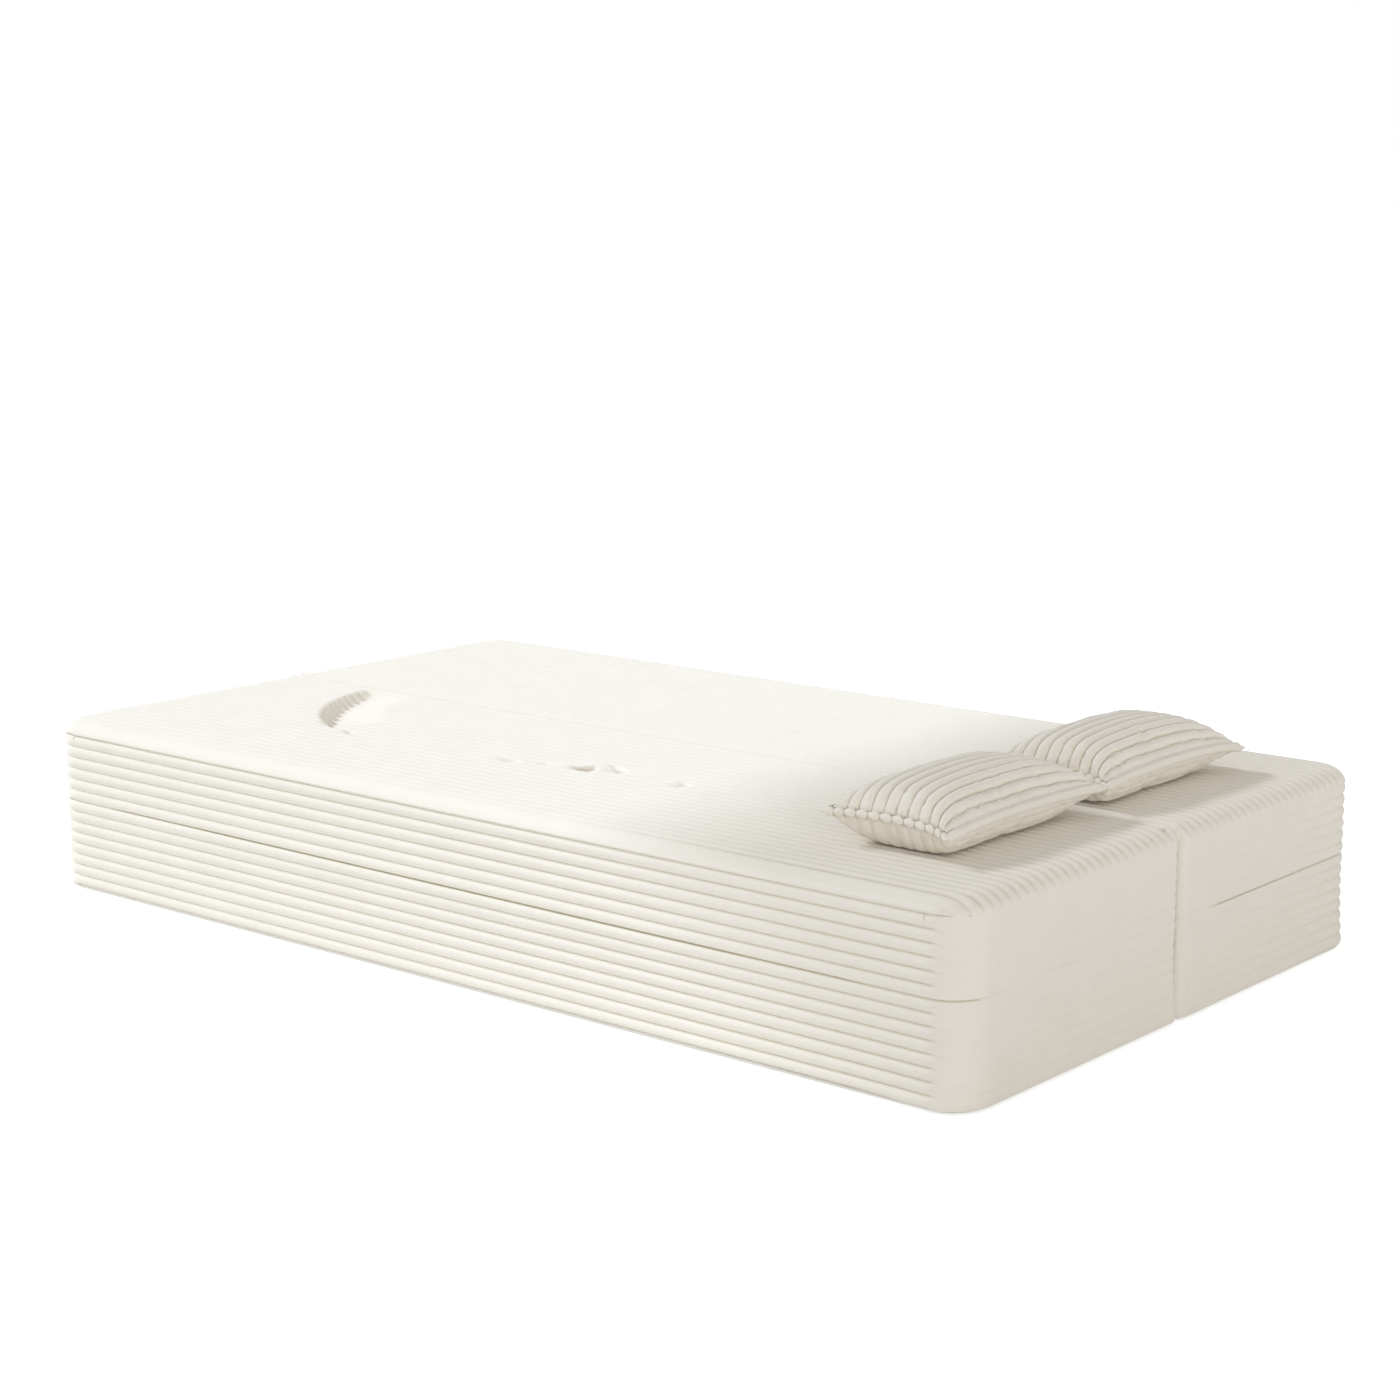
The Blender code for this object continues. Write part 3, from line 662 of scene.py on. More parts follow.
def add_panel(name, cushion, node, seed, columns, crown, drop, facing, inset, rolls):
    """A ribbed panel whose face is at the height crown. Facing is 1 for a face upward and -1 for one downward."""
    rows = rib_rows(TOP_RIB_COUNT)
    if cushion["side"] > 0:
        rows = rows[::-1]
    x, y, sine, facing_out = panel_grid(rows, cushion["side"], inset, rolls, drop, columns)
    rib = np.broadcast_to(rows[:, None], x.shape)
    sunk = drop * (1 - sine)
    if cushion["stack"] == "front" and not inset:
        sunk = sunk + hollow_depth(x, y + cushion["middle"], rib) * sine
    if inset:
        from_hinge = half_width - cushion["side"] * y
        under_hinge = smooth_step(0, 2 * HINGE_PRESS_EDGE, HINGE_HALF_LENGTH - np.abs(x))
        beside_hinge = smooth_step(HINGE_REACH, HINGE_REACH + HINGE_PRESS_EDGE, from_hinge)
        sunk = sunk + HINGE_PRESS * under_hinge * (1 - beside_hinge)
    points = np.stack((x, y + cushion["middle"], crown - facing * sunk), axis=-1)[:, ::facing]
    rib, sine, facing_out = (values[:, ::facing] for values in (rib, sine, facing_out))
    outer_share = np.maximum(0, facing_out) ** 2
    inner_share = np.maximum(0, -facing_out) ** 2
    rolled = smooth_step(1, 0.7, sine)
    if inset:
        fade = 1 - END_FADE * rolled
    else:
        gathered = np.interp(points[..., 0], *HEAD_GATHER)
        fade = gathered * (1 - rolled * (OUTER_FADE * outer_share + INNER_FADE * inner_share))
        near_joint = smooth_step(JOINT_REACH, 0, drop * sine) * (1 - facing_out**2)
        across = cushion["side"] * (points[..., 1] - cushion["middle"]) / half_width
        end_ribs = np.interp(across, (-1, 1), END_RIBS[cushion["side"]])
        fade = fade * (1 - near_joint) + end_ribs * near_joint
        puff = smooth_step(0, 0.5, sine) * smooth_step(1, 0.9, sine) * inner_share
        points[..., 1] -= cushion["side"] * INNER_PUFF * puff
    outward = grid_outward(points)
    picked_rows = [row for row in range(len(rows)) if rows[row] % 1 == 0]
    picked_columns = [*range(0, x.shape[1] - 1, BACK_COLUMN_STEP), x.shape[1] - 1]
    picked = np.ix_(picked_rows, picked_columns)
    back = (points - PANEL_THICKNESS * outward)[picked]
    outer = grid_numbers(*x.shape)
    inner = grid_numbers(*back.shape[:2], first=outer.size)
    # A seam and a pucker's crease sink the cloth and also get painted shade through the groove attribute.
    lid_seam = END_SEAM + (LID_SEAM - END_SEAM) * smooth_step(0.75, 0.98, facing_out)
    seam = lid_seam * smooth_step(SEAM_REACH, 0, drop * sine)
    if cushion["stack"] == "front" and not inset:
        seam = np.maximum(seam, crease_share(points[..., 0], points[..., 1]))
    attributes = {
        "rib_place": rib.ravel(),
        "rib_fade": fade.ravel(),
        "seam": seam.ravel(),
        "outward": outward.reshape(-1, 3),
    }
    all_points = np.concatenate((points.reshape(-1, 3), back.reshape(-1, 3)))
    mesh = new_mesh(name, all_points, shell_faces(outer, inner, picked_rows, picked_columns), attributes)
    panel = grow(name, mesh, rib_tree, Seed=seed, Material=plush)
    panel.data.set_sharp_from_angle(angle=SHARP_ANGLE)
    return dress(panel, f"{cushion['stack']}_{cushion['layer']}", [node])


for seed, (name, cushion) in enumerate(cushions.items()):
    crown = cushion["top"]
    if cushion["layer"] == "upper":
        columns = HOLLOW_COLUMNS if cushion["stack"] == "front" else FACE_COLUMNS
        drop = crown - cushion["rim"]
        piece, node = name + "_ribbed_face", name + "_top_panel"
        add_panel(piece, cushion, node, seed, columns, crown, drop, 1, **FACE_ROLLS)
        crown = cushion["bottom"]
        facing, part = -1, "_base_panel"
    else:
        facing, part = 1, "_top_panel"
    piece, node = name + "_ribbed_joining_face", name + part
    add_panel(piece, cushion, node, seed, PLAIN_COLUMNS, crown, PLAIN_DROP, facing, **PLAIN_ROLLS)
    print("panels of", name, "have their ribs")

# %% [markdown]
# ## Side bands
# A band of the same plush runs round each cushion, with its ribs level: eight on the lower cushion and six on
# the upper. It is a closed ring: the ribbed outside, and a plain inside. The sewing pulls the grooves next to a
# seam in deeper along the sides and round the outer corners. Across the ends the cover is stretched, so the ribs
# are faint there, and only the rear stack keeps most of them towards its outer side. The long sides are drawn in
# a little in the middle of their length. The lower cushion carries the upper one, so its ribs below the top one
# are drawn in, and its foot spreads at the head end. Along the sides the spread stays close to the corners, so
# that it is clear of the upper cushion once that is folded out. At the foot end the band has a shallow pocket,
# in which the zip lies.

# %% Side bands
BAND_STEP = 16 * MM
BAND_BACK = ((12 * MM, 4 * MM), (14 * MM, 9 * MM))
LIP_HEIGHT = 4.5 * MM
PARTING = -0.27 * MM
SEAM_PULLS = {"lower": (0.3, 1.3), "upper": (1.3, 0.9)}
SEAM_PULL_REACH = 0.1
STRAIGHT_MARGIN = (220 * MM, 50 * MM)
CORNER_SEAM = 0.7
LONG_RIBS = ((-0.9, 0.9), (0.8, 1.0))
END_PULL = {-1: (0.1, 0.1), 1: (0.1, 1.25)}
END_PULL_REACH = (-0.23, -0.15)
CORNER_RIBS = {-1: (0.3, 0.15), 1: (0.12, 0.9)}
DRAWN_IN = 0.9 * MM
FLARE = 5 * MM
FLARE_REACH = (0.8, 0.95)
SIDE_SAG = 1.5 * MM
ZIP_HALF_LENGTH = 201.5 * MM
ZIP_HALF_HEIGHT = 14 * MM
ZIP_POCKET_DEPTH = 6 * MM
ZIP_LIP = 1.2 * MM
ZIP_LIPS = ZIP_HALF_LENGTH + np.array((-0.5, 0.5)) * ZIP_LIP


def outline_loop(side):
    """Points, unit directions outward and the ribs' strength, counter-clockwise round a stack's outline."""
    points, outward, strength = [], [], []
    for quarter, (sign_x, sign_y) in enumerate(((1, 1), (-1, 1), (-1, -1), (1, -1))):
        radius, next_radius = (float(plan_radius(sign, side)) for sign in (sign_y, -sign_y))
        angle = np.linspace(0, math.pi / 2, CORNER_STEPS + 1) + quarter * math.pi / 2
        corner = np.stack((np.cos(angle), np.sin(angle)), axis=1)
        centre = np.array((sign_x * (half_length - radius), sign_y * (half_width - radius)))
        points.append(centre + radius * corner)
        outward.append(corner)
        along_end = quarter % 2
        outer = int(sign_y * side > 0)
        corner_ribs = CORNER_RIBS[side][outer]
        turn_ribs = (END_RIBS[side][outer], corner_ribs, corner_ribs, 1)
        turn = np.interp(np.linspace(0, 1, CORNER_STEPS + 1), (0, 0.3, 0.75, 0.9), turn_ribs)
        strength.append(turn[:: 1 - 2 * along_end])
        reach = (half_width if along_end else half_length) - radius
        next_reach = half_width - next_radius if along_end else reach
        sign = sign_y if along_end else sign_x
        places = np.linspace(reach, -next_reach, round((reach + next_reach) / BAND_STEP) + 1)[1:-1]
        if quarter == 1:
            places = np.sort(np.concatenate((places, ZIP_LIPS, -ZIP_LIPS)))[::-1]
        level = np.full(len(places), sign_x * half_length if along_end else sign_y * half_width)
        points.append(np.stack((level, sign * places) if along_end else (sign * places, level), axis=1))
        outward.append(np.broadcast_to(np.round(corner[-1]), (len(places), 2)))
        end_ribs = np.interp(side * sign * places, (-half_width, half_width), END_RIBS[side])
        strength.append(end_ribs if along_end else np.ones(len(places)))
    return np.concatenate(points), np.concatenate(outward), np.concatenate(strength)


def add_band(name, cushion, seed):
    """The ribbed ring round a cushion."""
    upper = cushion["layer"] == "upper"
    low = cushion["bottom"] + (PARTING if upper else LIP_HEIGHT)
    high = cushion["rim"] if upper else cushion["top"] - PARTING
    rib_count = SIDE_RIB_COUNTS[cushion["layer"]]
    zip_low, zip_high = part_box(name + "_zip_tape")
    zip_middle = (zip_low.z + zip_high.z) / 2
    lips = np.array((-ZIP_HALF_HEIGHT, ZIP_HALF_HEIGHT))[:, None] + np.array((-0.5, 0.5)) * ZIP_LIP
    rib_height = (high - low) / rib_count
    rows = np.sort(np.concatenate((rib_rows(rib_count), ((zip_middle + lips).ravel() - low) / rib_height)))
    loop, outward, strength = outline_loop(cushion["side"])
    z = (low + rows * rib_height)[:, None]
    x, y = loop.T
    in_length = smooth_step(-ZIP_LIP / 2, ZIP_LIP / 2, ZIP_HALF_LENGTH - np.abs(y)) * (x < -STRAIGHT_X)
    in_height = smooth_step(-ZIP_LIP / 2, ZIP_LIP / 2, ZIP_HALF_HEIGHT - np.abs(z - zip_middle))
    pocket = in_length * in_height
    along = np.cos(np.clip(x / half_length, -1, 1) * math.pi / 2)
    drawn = SIDE_SAG * along * np.sin(rows / rib_count * math.pi)[:, None]
    if not upper:
        drawn = drawn + DRAWN_IN * smooth_step(0, 0.6, rib_count - 1 - rows)[:, None]
        flare = FLARE * smooth_step(*FLARE_REACH, x / half_length) * (1 - rows / rib_count)[:, None] ** 2
        drawn = drawn - flare
    inset = drawn + pocket * (ZIP_POCKET_DEPTH - drawn)
    level = np.broadcast_to(z[..., None], (*inset.shape, 1))
    face = np.concatenate((loop - inset[..., None] * outward, level), axis=2)
    ends = [(depth, high - rise) for depth, rise in BAND_BACK]
    ends += [(depth, low + rise) for depth, rise in reversed(BAND_BACK)]
    back = [np.column_stack((loop - depth * outward, np.full(len(loop), height))) for depth, height in ends]
    points = np.concatenate((face, back))
    numbers = closed_ring(closed_ring(grid_numbers(*points.shape[:2]), 1), 0)
    from_end = np.minimum(rows, rib_count - rows)[:, None]
    pull = np.where(rows < rib_count / 2, *SEAM_PULLS[cushion["layer"]])[:, None]
    from_corner = half_length - np.abs(x)
    long_side = smooth_step(STRAIGHT_MARGIN[1], STRAIGHT_MARGIN[0], from_corner)
    at_parting = (rows > rib_count / 2)[:, None] != upper
    outer_corner = (from_corner < 1.5 * CORNER_RADIUS) * smooth_step(0.05, 0.4, cushion["side"] * outward[:, 1])
    corner_seam = CORNER_SEAM * at_parting * outer_corner
    end_share = smooth_step(*END_PULL_REACH, cushion["side"] * y) * at_parting
    end_pull = END_PULL[cushion["side"]][0] + np.diff(END_PULL[cushion["side"]]) * end_share
    pull = end_pull + (pull - end_pull) * np.maximum(long_side, corner_seam)
    # The seam pull sinks the grooves beside a seam and darkens them with painted shade through the groove
    # attribute.
    seam = pull * (1 - smooth_step(0, SEAM_PULL_REACH, from_end)) * (1 - pocket)
    along_side = 1 + (np.interp(x, *LONG_RIBS) - 1) * outward[:, 1] ** 2
    level_outward = np.column_stack((outward, np.zeros(len(loop))))
    attributes = {
        "rib_place": np.repeat(rows, len(loop)),
        "rib_fade": ((1 - pocket) * strength * along_side).ravel(),
        "seam": seam.ravel(),
        "outward": np.tile(level_outward, (len(rows), 1)),
    }
    points[..., 1] += cushion["middle"]
    mesh = new_mesh(name, points, grid_faces(numbers), attributes)
    band = grow(name + "_ribbed_band", mesh, rib_tree, Seed=seed + 10, Material=plush)
    band.data.set_sharp_from_angle(angle=SHARP_ANGLE)
    return dress(band, name, [name + "_side_band"])


for seed, (name, cushion) in enumerate(cushions.items()):
    band = add_band(name, cushion, seed)
    print("band:", band.name, len(band.data.polygons), "faces")

# %% [markdown]
# ## Foam cores
# Each cushion is cut from one block of foam, with its edges eased so that the cover rolls over them. Its top and
# bottom are grids with the same border, so a wall of quads between the borders closes the block. The core of the
# front upper cushion is pressed in where its panel is.

# %% Foam cores
FOAM_INSET = 15 * MM
FOAM_EASE = 6 * MM
FOAM_ROLLS = {"upper": ((30 * MM, 10 * MM), 20 * MM), "lower": ((FOAM_EASE, FOAM_EASE), FOAM_EASE)}
COVER_ALLOWANCE = 9 * MM
FOAM_ROWS = np.linspace(0, TOP_RIB_COUNT, 2 * TOP_RIB_COUNT + 1)

for name, cushion in cushions.items():
    rolls, drop = FOAM_ROLLS[cushion["layer"]]
    rows = FOAM_ROWS[:: cushion["side"] * -1]
    grids = []
    for facing, height in ((1, cushion["top"] - COVER_ALLOWANCE), (-1, cushion["bottom"] + COVER_ALLOWANCE)):
        x, y, sine, _ = panel_grid(rows, cushion["side"], FOAM_INSET, rolls, drop, FACE_COLUMNS)
        sunk = drop * (1 - sine)
        if facing > 0 and name == "front_upper":
            sunk = sunk + hollow_depth(x, y + cushion["middle"], 0) * sine
        grids.append(np.stack((x, y + cushion["middle"], height - facing * sunk), axis=-1))
    outer = grid_numbers(*x.shape)
    inner = grid_numbers(*x.shape, first=outer.size)
    faces = shell_faces(outer, inner, range(x.shape[0]), range(x.shape[1]))
    core = new_object(name + "_foam_block", new_mesh(name, np.concatenate(grids), faces), foam)
    dress(core, name, [name + "_foam_core"])
print("foam: four blocks")

# %% [markdown]
# ## Grip cloth with printed dots
# The underside of each lower cushion is a woven cloth with dots of PVC, 24 mm apart in staggered rows. The tree
# puts one dot on every point it is given, so the pattern is set by the points alone. A dot is a low cone with
# nine sides and a flat top, since there are over three thousand of them on a base. The cloth turns up at its
# edge and leaves the narrow lip that shows under the lowest rib.

# %% Base panels
DOT_PITCH = 24 * MM
DOT_RADIUS = 3.5 * MM
DOT_HEIGHT = 1.2 * MM
DOT_SIDES = 9
BASE_INSET = 1.5 * MM
BASE_ROLL = 4 * MM
BASE_THICKNESS = 2 * MM
DOT_BORDER = 14 * MM

dot_tree, given = new_tree(
    "printed_dots", {"Dot radius": DOT_RADIUS, "Dot height": DOT_HEIGHT, "Flat share": 0.55, "Material": None}
)
flat_top = add_node(
    dot_tree, "ShaderNodeMath", {"operation": "MULTIPLY"}, links={0: given["Dot radius"], 1: given["Flat share"]}
)
sizes = {"Radius Top": flat_top.outputs[0], "Radius Bottom": given["Dot radius"], "Depth": given["Dot height"]}
dot = add_node(dot_tree, "GeometryNodeMeshCone", values={"Vertices": DOT_SIDES}, links=sizes)
placed = add_node(
    dot_tree, "GeometryNodeInstanceOnPoints", links={"Points": given["Geometry"], "Instance": dot.outputs["Mesh"]}
)
end_tree(dot_tree, placed.outputs[0], given["Material"])

for stack, side in STACK_SIDES.items():
    cushion = cushions[stack + "_lower"]
    crown = cushion["bottom"] + DOT_HEIGHT
    drop = LIP_HEIGHT - DOT_HEIGHT
    rolls = (BASE_ROLL, BASE_ROLL)
    x, y, sine, _ = panel_grid(FOAM_ROWS[:: side * -1], side, BASE_INSET, rolls, drop, PLAIN_COLUMNS)
    points = np.stack((x, y + cushion["middle"], crown + drop * (1 - sine)), axis=-1)[:, ::-1]
    back = points - BASE_THICKNESS * grid_outward(points)
    outer = grid_numbers(*x.shape)
    faces = shell_faces(outer, outer + outer.size, range(x.shape[0]), range(x.shape[1]))
    mesh = new_mesh(stack, np.concatenate((points, back)), faces)
    base = new_object(stack + "_grip_base", mesh, grip_cloth)
    dress(base, stack + "_lower", [stack + "_lower_base_panel"])

    dot_x = np.arange(-half_length, half_length, DOT_PITCH)
    dot_y = np.arange(-half_width, half_width, DOT_PITCH / 2)
    dot_x, dot_y = np.meshgrid(dot_x, dot_y, indexing="ij")
    dot_x = dot_x + DOT_PITCH / 2 * (np.arange(dot_y.shape[1]) % 2)
    inside = outline_depth(dot_x, dot_y, side)[0] > DOT_BORDER
    seats = np.column_stack((dot_x[inside], dot_y[inside] + cushion["middle"], np.zeros(inside.sum())))
    dots = grow(stack + "_grip_dots", new_mesh(stack, seats, []), dot_tree, Material=pvc)
    dress(dots, stack + "_lower")
    print("base:", base.name, "with", inside.sum(), "dots")

# %% [markdown]
# ## Arcs of thread: one tree for coil, hooks, loops and stitches
# The zip's coil, the hooks, the loops and the stitches are all the same thing, a thread bent to an arc. So one
# tree sweeps a small ring along an arc and puts the result on every point, turned by the point's own attribute.
# Only the radius of the arc, the thickness of the thread and the length of the sweep differ.

# %% The thread tree
thread_tree, given = new_tree(
    "thread_arcs",
    {"Arc radius": 1.3 * MM, "Thread radius": 0.4 * MM, "Start": 0.0, "Sweep": math.pi, "Steps": 6,
     "Material": None},
)
arc = add_node(
    thread_tree, "GeometryNodeCurveArc",
    links={"Resolution": given["Steps"], "Radius": given["Arc radius"], "Start Angle": given["Start"],
           "Sweep Angle": given["Sweep"]},
)
ring = add_node(
    thread_tree, "GeometryNodeCurvePrimitiveCircle", None, {"Resolution": 4}, {"Radius": given["Thread radius"]}
)
swept = add_node(
    thread_tree, "GeometryNodeCurveToMesh", None, {"Fill Caps": True},
    {"Curve": arc.outputs["Curve"], "Profile Curve": ring.outputs["Curve"]},
)
turn = add_node(
    thread_tree, "GeometryNodeInputNamedAttribute", {"data_type": "FLOAT_VECTOR"}, {"Name": "turn"}
).outputs["Attribute"]
placed = add_node(
    thread_tree, "GeometryNodeInstanceOnPoints",
    links={"Points": given["Geometry"], "Instance": swept.outputs["Mesh"], "Rotation": turn},
)
end_tree(thread_tree, placed.outputs[0], given["Material"])
STITCH_SWEEP = 1.6


def add_threads(name, places, turns, body, slot, material, **sizes):
    """Arcs of thread at places, each turned by X, Y and Z angles. One turn may serve all."""
    turns = np.broadcast_to(turns, (len(places), 3))
    made = grow(name, new_mesh(name, places, [], {"turn": turns}), thread_tree, Material=material, **sizes)
    return dress(made, body)


def add_stitches(name, places, turns, body, slot, radius, wire, crown):
    """Shallow arcs of sewing thread. The crown is the angle of an arc's top before it is turned."""
    return add_threads(
        name, places, turns, body, slot, thread,
        Arc_radius=radius, Thread_radius=wire, Start=crown - STITCH_SWEEP / 2, Sweep=STITCH_SWEEP, Steps=4,
    )


print("tree:", thread_tree.name)

# %% [markdown]
# ## Zips
# Each cover opens along a zip at the foot end, so that the foam can come out for washing. The tape is two halves
# with a slit between them. The nylon coil is two rows of bent teeth, set half a pitch apart, that mesh over the
# slit. The slider is a nickel-plated casting: a wedge-shaped plate with a bridge, and a cheek on each side of
# the coil. It has no pull, as on covers that a child shouldn't open.

# %% Zip tapes, coils and sliders
COIL_PITCH = 1.6 * MM
COIL_WIRE = 0.42 * MM
COIL_ARC = 1.35 * MM
COIL_SPREAD = 0.95 * MM
TAPE_SLIT = 0.8 * MM
TAPE_THICKNESS = 1 * MM
TAPE_EASE = 0.3 * MM
COIL_MARGIN = 3 * MM
STITCH_MARGIN = 4 * MM
STITCH_SHIFT = 10 * MM
STITCH_DEPTH = 0.9 * MM
TAPE_STITCH_PITCH = 5 * MM
PLATE = 1 * MM
PLATE_TAPER = 0.72
CHEEK = 0.9 * MM
CHEEK_SPAN = (1.5 * MM, 6 * MM)
BRIDGE_WIDTH = 2.2 * MM
BRIDGE_INSET = 2.5 * MM


def box_faces(first):
    """The six faces of a box whose eight corners are counted along Z, then Y, then X."""
    corners = ((0, 1, 3, 2), (4, 6, 7, 5), (0, 4, 5, 1), (2, 3, 7, 6), (0, 2, 6, 4), (1, 5, 7, 3))
    return [[first + corner for corner in face] for face in corners]


def add_blocks(name, blocks, material, ease):
    """One piece made of boxes or wedges with eased edges. Each block is its eight corners."""
    faces = [face for k in range(len(blocks)) for face in box_faces(8 * k)]
    piece = new_object(name, new_mesh(name, np.concatenate(blocks), faces), material)
    bevel = piece.modifiers.new("eased_edges", "BEVEL")
    bevel.width = ease
    bevel.segments = 2
    piece.data.set_sharp_from_angle(angle=SHARP_ANGLE)
    return piece


def block(low, high):
    """The eight corners of a box, counted along Z, then Y, then X."""
    return np.array([(x, y, z) for x in (low[0], high[0]) for y in (low[1], high[1]) for z in (low[2], high[2])])


for name in cushions:
    tape_low, tape_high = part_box(name + "_zip_tape")
    slide_low, slide_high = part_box(name + "_zip_slider")
    middle = (tape_low.z + tape_high.z) / 2
    tape_face = tape_high.x - TAPE_THICKNESS
    halves = [
        block((tape_face, tape_low.y, low_z), (tape_high.x, tape_high.y, high_z))
        for low_z, high_z in ((tape_low.z, middle - TAPE_SLIT / 2), (middle + TAPE_SLIT / 2, tape_high.z))
    ]
    tape = add_blocks(name + "_tape_halves", halves, zip_cloth, TAPE_EASE)
    dress(tape, name, [name + "_zip_tape"])
    teeth = np.arange(tape_low.y + COIL_MARGIN, tape_high.y - COIL_MARGIN, COIL_PITCH / 2)
    row = np.where(np.arange(len(teeth)) % 2, 1, -1)
    places = np.column_stack((np.full(len(teeth), tape_face), teeth, middle + row * COIL_SPREAD))
    coil = add_threads(
        name + "_coil", places, (math.pi / 2, 0, math.pi), name, "zip_tape", nylon,
        Arc_radius=COIL_ARC, Thread_radius=COIL_WIRE, Start=-math.pi / 2, Sweep=math.pi,
    )
    stitch_y = np.arange(tape_low.y + STITCH_MARGIN, tape_high.y - STITCH_MARGIN, TAPE_STITCH_PITCH)
    rows = (-STITCH_SHIFT, STITCH_SHIFT)
    stitch_places = [(tape_face + STITCH_DEPTH, y, middle + shift) for shift in rows for y in stitch_y]
    stitches = add_stitches(
        name + "_tape_stitches", stitch_places, (0, 0, math.pi), name, "zip_tape", 1.3 * MM, 0.2 * MM, 0
    )

    ends = np.array((slide_low.y, slide_high.y))
    wide = (slide_high.z - slide_low.z) / 2
    roof = slide_low.x + PLATE
    plate = block((slide_low.x, ends[0], middle - wide), (roof, ends[1], middle + wide))
    narrow = plate[:, 1] > ends.mean()
    plate[narrow, 2] = middle + PLATE_TAPER * (plate[narrow, 2] - middle)
    cheek_y = ends[0] + np.array(CHEEK_SPAN)
    cheeks = [
        block((roof - 0.2 * MM, cheek_y[0], centre - CHEEK / 2), (slide_high.x, cheek_y[1], centre + CHEEK / 2))
        for centre in (middle - wide + CHEEK / 2, middle + wide - CHEEK / 2)
    ]
    bridge = block(
        (slide_low.x - 0.5 * MM, ends[0] + BRIDGE_INSET, middle - BRIDGE_WIDTH / 2),
        (slide_low.x + 0.3 * MM, ends[1] - BRIDGE_INSET, middle + BRIDGE_WIDTH / 2),
    )
    slider = add_blocks(name + "_nickel_slider", [plate, *cheeks, bridge], nickel, 0.25 * MM)
    dress(slider, name + "_slider", [name + "_zip_slider"])
    print("zip of", name, "has", len(teeth), "teeth")

# %% [markdown]
# ## Hinge cloth
# A strip of cotton tape is folded lengthwise in the seam along the outer long edge. One leaf is sewn to the
# lower cushion's top and the other to the upper cushion's underside. It is the hinge: as the upper cushion
# swings out, the fold opens flat. The strip is one piece, a folded section swept along the seam. Each leaf has
# two rows of stitches, which ride on the cushion that they are sewn to.

# %% Hinge strips
HINGE_CLOTH = 0.8 * MM
FOLD_INSET = 3.6 * MM
FOLD_EASE = 4.5 * MM
FOLD_EASE_REACH = (0.5, 0.88)
FOLD_STEPS = 7
LEAF_STEPS = 5
HINGE_COLUMNS = 72
STITCH_ROWS = (12 * MM, 21 * MM)
STITCH_PITCH = 6 * MM
STITCH_CENTRE = 1.25 * MM

for stack, side in STACK_SIDES.items():
    strip_low, strip_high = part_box(stack + "_hinge_strip")
    seam_z = (strip_low.z + strip_high.z) / 2
    leaf_middle = (strip_high.z - strip_low.z) / 2 - HINGE_CLOTH / 2
    stack_middle = cushions[stack + "_lower"]["middle"]
    outline_y = stack_middle + side * half_width
    leaf_end = half_width - side * ((strip_high.y if side < 0 else strip_low.y) - stack_middle)
    fold_middle = FOLD_INSET + HINGE_CLOTH / 2 + leaf_middle
    leaf = np.linspace(leaf_end, fold_middle, LEAF_STEPS, endpoint=False)
    fold = np.linspace(-math.pi / 2, math.pi / 2, FOLD_STEPS)
    section = []
    for offset in (HINGE_CLOTH / 2, -HINGE_CLOTH / 2):
        half_gap = leaf_middle + offset
        lower = [(inset, -half_gap) for inset in leaf]
        around = [(fold_middle - half_gap * math.cos(a), half_gap * math.sin(a)) for a in fold]
        section.append(lower + around + [(inset, half_gap) for inset in leaf[::-1]])
    section = np.array(section[0] + section[1][::-1])
    x = np.linspace(strip_low.x, strip_high.x, HINGE_COLUMNS)
    points = np.zeros((len(section), len(x), 3))
    points[..., 0] = x * side
    at_fold = smooth_step(leaf_end, fold_middle, section[:, 0])[:, None]
    eased = FOLD_EASE * smooth_step(*FOLD_EASE_REACH, np.abs(x)) * at_fold
    points[..., 1] = outline_y - side * (section[:, [0]] + eased)
    points[..., 2] = (seam_z + section[:, 1])[:, None]
    numbers = grid_numbers(*points.shape[:2])
    faces = grid_faces(closed_ring(numbers, 0)[:, ::-1])
    half = len(section) // 2
    for column, order in ((0, -1), (len(x) - 1, 1)):
        faces += [numbers[[k, k + 1, -k - 2, -k - 1], column][::order] for k in range(half - 1)]
    strip = new_object(stack + "_folded_tape", new_mesh(stack, points, faces), hinge_cloth)
    strip.data.set_sharp_from_angle(angle=SHARP_ANGLE)
    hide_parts(stack + "_hinge_strip")
    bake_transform(strip)
    for layer, sign in (("lower", -1), ("upper", 1)):
        stitch_x = np.arange(strip_low.x + STITCH_PITCH, strip_high.x - STITCH_PITCH, STITCH_PITCH)
        height = seam_z + sign * (leaf_middle - HINGE_CLOTH / 2 + STITCH_CENTRE)
        places = [(x, outline_y - side * inset, height) for inset in STITCH_ROWS for x in stitch_x]
        cushion, turns = f"{stack}_{layer}", (-sign * math.pi / 2, 0, 0)
        add_stitches(
                cushion + "_leaf_stitches", places, turns, cushion, "hinge_cloth",
                1.5 * MM, 0.18 * MM, math.pi / 2,
            )

# %% [markdown]
# ## Hook and loop pads
# Three pads on the inner side of each lower cushion keep the stacks together. The front stack has the hooks and
# the rear one the loops. A pad is a woven nylon rectangle, sewn on round its edge. Real hooks are 1.5 mm apart,
# and they are set 3 mm apart here, so that a pad has hundreds and not thousands.

# %% Pads
HOOK_PITCH = 3 * MM
PAD_CLOTH = 0.7 * MM
PAD_STITCH_INSET = 3 * MM
HOOK_MARGINS = (5.5 * MM, 5 * MM)
HOOK_WIRE = 0.08 * MM

